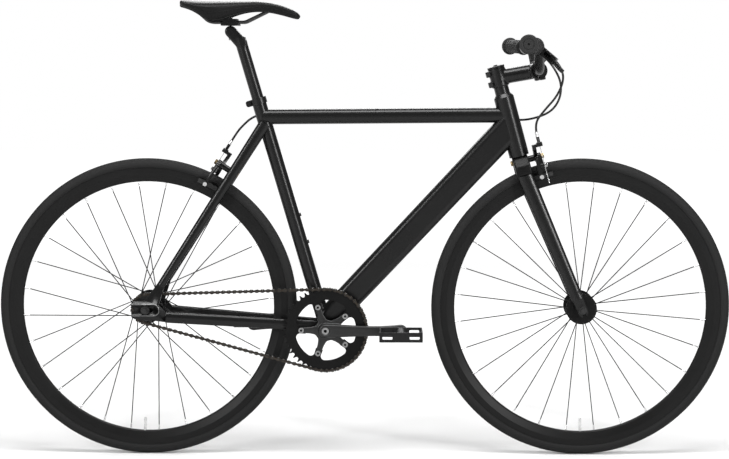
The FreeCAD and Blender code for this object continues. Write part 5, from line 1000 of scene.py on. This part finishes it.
def softened(keys):
    """A smooth line through key points."""
    points = []
    for k in range(len(keys) - 1):
        before = Vector(keys[max(k - 1, 0)])
        start = Vector(keys[k])
        end = Vector(keys[k + 1])
        after = Vector(keys[min(k + 2, len(keys) - 1)])
        for j in range(outline_steps):
            t = j / outline_steps
            bend = (end - before) * t + (2 * before - 5 * start + 4 * end - after) * t ** 2
            points.append(start + 0.5 * (bend + (3 * start - before - 3 * end + after) * t ** 3))
    points.append(Vector(keys[-1]))
    return points


def end_round(share):
    """How far a section has grown from the rounded tail and nose."""
    reach = min(1.0, share / tail_round, (1 - share) / nose_round)
    return max(0.03, math.sqrt(1 - (1 - reach) ** 2))


def saddle_row(share):
    """The points of one section, round the left side and back by the right."""
    _, top, low = saddle_sizes(share)
    middle = Vector((0.0, (top + low) / 2))
    grown_share = end_round(share)
    across = [middle + (point - middle) * grown_share for point in softened(half_outline(share))]
    run = saddle_low.x + (saddle_high.x - saddle_low.x) * share
    row = [Vector((run, point.x, point.y)) for point in across]
    return row + [Vector((run, -point.x, point.y)) for point in across[-2:0:-1]]


def add_cover(build, rows):
    skin(build, [[build.verts.new(point) for point in row] for row in rows])


def add_strips(build, rows, place, radius):
    """Add a thin strip along each skirt, at one key point of the sections."""
    for index in (place * outline_steps, len(rows[0]) - place * outline_steps):
        line = [row[index] for row in rows[strip_rest:-strip_rest]]
        add_tube(build, line, [radius] * len(line), strip_sides)


def make_saddle():
    shares = [0.5 - 0.5 * math.cos(math.pi * k / saddle_rows) for k in range(saddle_rows + 1)]
    rows = [saddle_row(share) for share in shares]
    parts = [
        shell("saddle", saddle_skin, add_cover, rows, sharp=60),
        shell("seam", saddle_skin, add_strips, rows, seam_place, seam_radius),
        shell("trim", black_plastic, add_strips, rows, trim_place, trim_radius),
    ]
    piece = add_piece("saddle_cover", joined("saddle", parts), "seat", "saddle_cover", "saddle")


make_saddle()
print("saddle sections:", saddle_rows + 1)

# %% [markdown]
# ## Parts of two finishes
# Some solids hold several lumps of different stuff: a brake arm carries a rubber pad, a plated pad bolt
# and an adjuster. Such a solid is copied, its triangles are joined into lumps, and each lump gets its
# own finish by its size and place. On the dropouts and the crank bolts, faces of one lump differ: the
# raised border round each axle slot is bare, and a bolt's socket gets a black finish as painted shade
# in the recess, below a dull steel head.

# %% Lumps and their finishes
weld_gap = 0.000002
copy_sharp = 28
adjuster_lift = 0.02
clamp_screw_size = 0.021
face_gap = 0.0001
border_gap = 0.0002
# How far past a socket's edge the painted shade of the socket reaches.
painted_shade_socket_gap = 0.0004


def find_lumps(build):
    """Groups of faces that hang together, the largest first, each as (size, middle, faces)."""
    seen = set()
    lumps = []
    for first in build.faces:
        if first in seen:
            continue
        seen.add(first)
        faces = [first]
        for face in faces:
            for edge in face.edges:
                for other in edge.link_faces:
                    if other not in seen:
                        seen.add(other)
                        faces.append(other)
        corners = [vertex.co for face in faces for vertex in face.verts]
        low = Vector([min(corner[axis] for corner in corners) for axis in range(3)])
        high = Vector([max(corner[axis] for corner in corners) for axis in range(3)])
        lumps.append(((high - low).length, (low + high) / 2, faces))
    return sorted(lumps, key=lambda lump: -lump[0])


def joined_copy(name):
    """A solid's triangles, joined at their corners."""
    build = bmesh.new()
    build.from_mesh(nodes[name].data)
    bmesh.ops.remove_doubles(build, verts=build.verts, dist=weld_gap)
    return build


def keep_copy(name, build, materials, body, slot):
    """Put a dressed copy in the place of its solid."""
    add_piece(name + "_dressed", smooth_mesh(name, build, materials, copy_sharp), body, slot, name)


def dress(name, body, slot, choose):
    """Dress each lump as choose says, from its rank, its size and its height above the first."""
    build = joined_copy(name)
    lumps = find_lumps(build)
    materials = []
    for rank, (size, middle, faces) in enumerate(lumps):
        material = choose(rank, size, middle.z - lumps[0][1].z)
        if material not in materials:
            materials.append(material)
        for face in faces:
            face.material_index = materials.index(material)
    keep_copy(name, build, materials, body, slot)
    print(name, "lumps:", len(lumps))


def dress_dropouts():
    """Painted plates with a bare raised border round each axle slot."""
    build = joined_copy("rear_dropouts")
    reach = max(abs(vertex.co.y) for vertex in build.verts)
    for face in build.faces:
        face.material_index = int(abs(face.calc_center_median().y) > reach - border_gap)
    keep_copy("rear_dropouts", build, [frame_paint, bolt_steel], "frame", "frame_paint")


def dress_bolts(name, body, slot):
    """Bolt heads of dull steel, with a black finish in each socket as painted shade."""
    build = joined_copy(name)
    lumps = find_lumps(build)
    for _, middle, faces in lumps:
        outer = max((vertex.co.y for face in faces for vertex in face.verts), key=abs)
        flat = [face for face in faces if abs(face.calc_center_median().y - outer) < face_gap]
        edge = min((vertex.co.xz - middle.xz).length for face in flat for vertex in face.verts)
        for face in faces:
            reach = max((vertex.co.xz - middle.xz).length for vertex in face.verts)
            # Faces inside the socket's edge get the black finish: painted shade in the recess. The rest of
            # the head is dull steel.
            face.material_index = int(reach < edge + painted_shade_socket_gap)
    keep_copy(name, build, [dull_steel, ring_black], body, slot)
    print(name, "heads:", len(lumps))


def arm_finish(rank, size, lift):
    """Arm, pad, then the bolts, with the adjuster high up."""
    if rank == 1:
        return pad_rubber
    return black_alloy if rank == 0 or lift > adjuster_lift else bright_steel


for end in ("front", "rear"):
    for side in ("right", "left"):
        dress(end + "_arm_" + side, end + "_" + side + "_arm", "black_alloy", arm_finish)
    body = "steering" if end == "front" else "frame"
    dress(end + "_brake_bolt", body, "bright_steel",
          lambda rank, size, lift: black_alloy if rank else brass_gold)
dress_dropouts()
dress_bolts("crank_bolts", "cranks", "bright_steel")
dress("brake_lever_brackets", "steering", "black_alloy",
      lambda rank, size, lift: bright_steel if size < clamp_screw_size else black_alloy)
dress("saddle_clamp", "seat", "black_alloy",
      lambda rank, size, lift: dull_steel if rank == 2 else black_alloy)
dress("rear_sprocket", "rear_wheel", "black_steel",
      lambda rank, size, lift: dull_steel if rank else black_steel)

# %% [markdown]
# ## Forgings
# Crank arms, fork crown, stem, seatpost head and pedal cages are forged, cast or moulded, so every edge
# is round. A bevel trips over the small faces round a bore, so the solid is copied into a fine skin of
# even squares, and a few rounds of smoothing relax all its edges.

# %% Forgings
def forge(name, body, slot, material, square, rounds):
    """A copy of a solid as a relaxed skin of small squares."""
    holder = put(name, plain_mesh(name, joined_copy(name)))
    squares = holder.modifiers.new("squares", "REMESH")
    squares.mode = "VOXEL"
    squares.voxel_size = square
    relaxed = holder.modifiers.new("relaxed", "SMOOTH")
    relaxed.factor = 0.5
    relaxed.iterations = rounds
    mesh = baked(holder)
    mesh.materials.clear()
    mesh.materials.append(material)
    mesh.shade_smooth()
    add_piece(name + "_forged", mesh, body, slot, name)
    print(name, "faces:", len(mesh.polygons))


for side in ("right", "left"):
    forge("crank_arm_" + side, "cranks", "black_alloy", crank_alloy, square=0.0008, rounds=110)
forge("fork_steerer", "steering", "frame_paint", ring_black, square=0.001, rounds=100)
forge("stem", "steering", "black_alloy", black_alloy, square=0.0008, rounds=30)
forge("seatpost", "seat", "black_alloy", black_alloy, square=0.001, rounds=80)
for side in ("right", "left"):
    forge("pedal_" + side, side + "_pedal", "black_plastic", black_plastic, square=0.0007, rounds=12)

# %% [markdown]
# ## Finishes on the solids
# Each solid that keeps its shape gets its finish here.

# %% Finishes on the solids
solid_finishes = {
    frame_paint: ["head_tube", "top_tube", "down_tube", "seat_tube", "bottom_bracket_shell", "chainstays",
                  "seatstays", "seatstay_bridge"],
    fork_paint: ["fork_blades"],
    rim_black: ["front_rim", "rear_rim"],
    black_alloy: ["bottom_bracket_cups", "headset_spacers", "stem_faceplate", "handlebar", "seat_clamp",
                  "lever_right", "lever_left"],
    ring_black: ["chainring", "front_hub", "rear_hub"],
    bright_steel: ["front_inner_tube", "rear_inner_tube"],
    black_steel: ["front_axle", "rear_axle", "bracket_spindle", "pedal_axles", "headset_bearings",
                  "stem_bolts", "bottle_boss_screws", "saddle_rails"],
}
for material, names in solid_finishes.items():
    for name in names:
        nodes[name].material_slots[0].material = material
print("finished solids:", sum(len(names) for names in solid_finishes.values()))
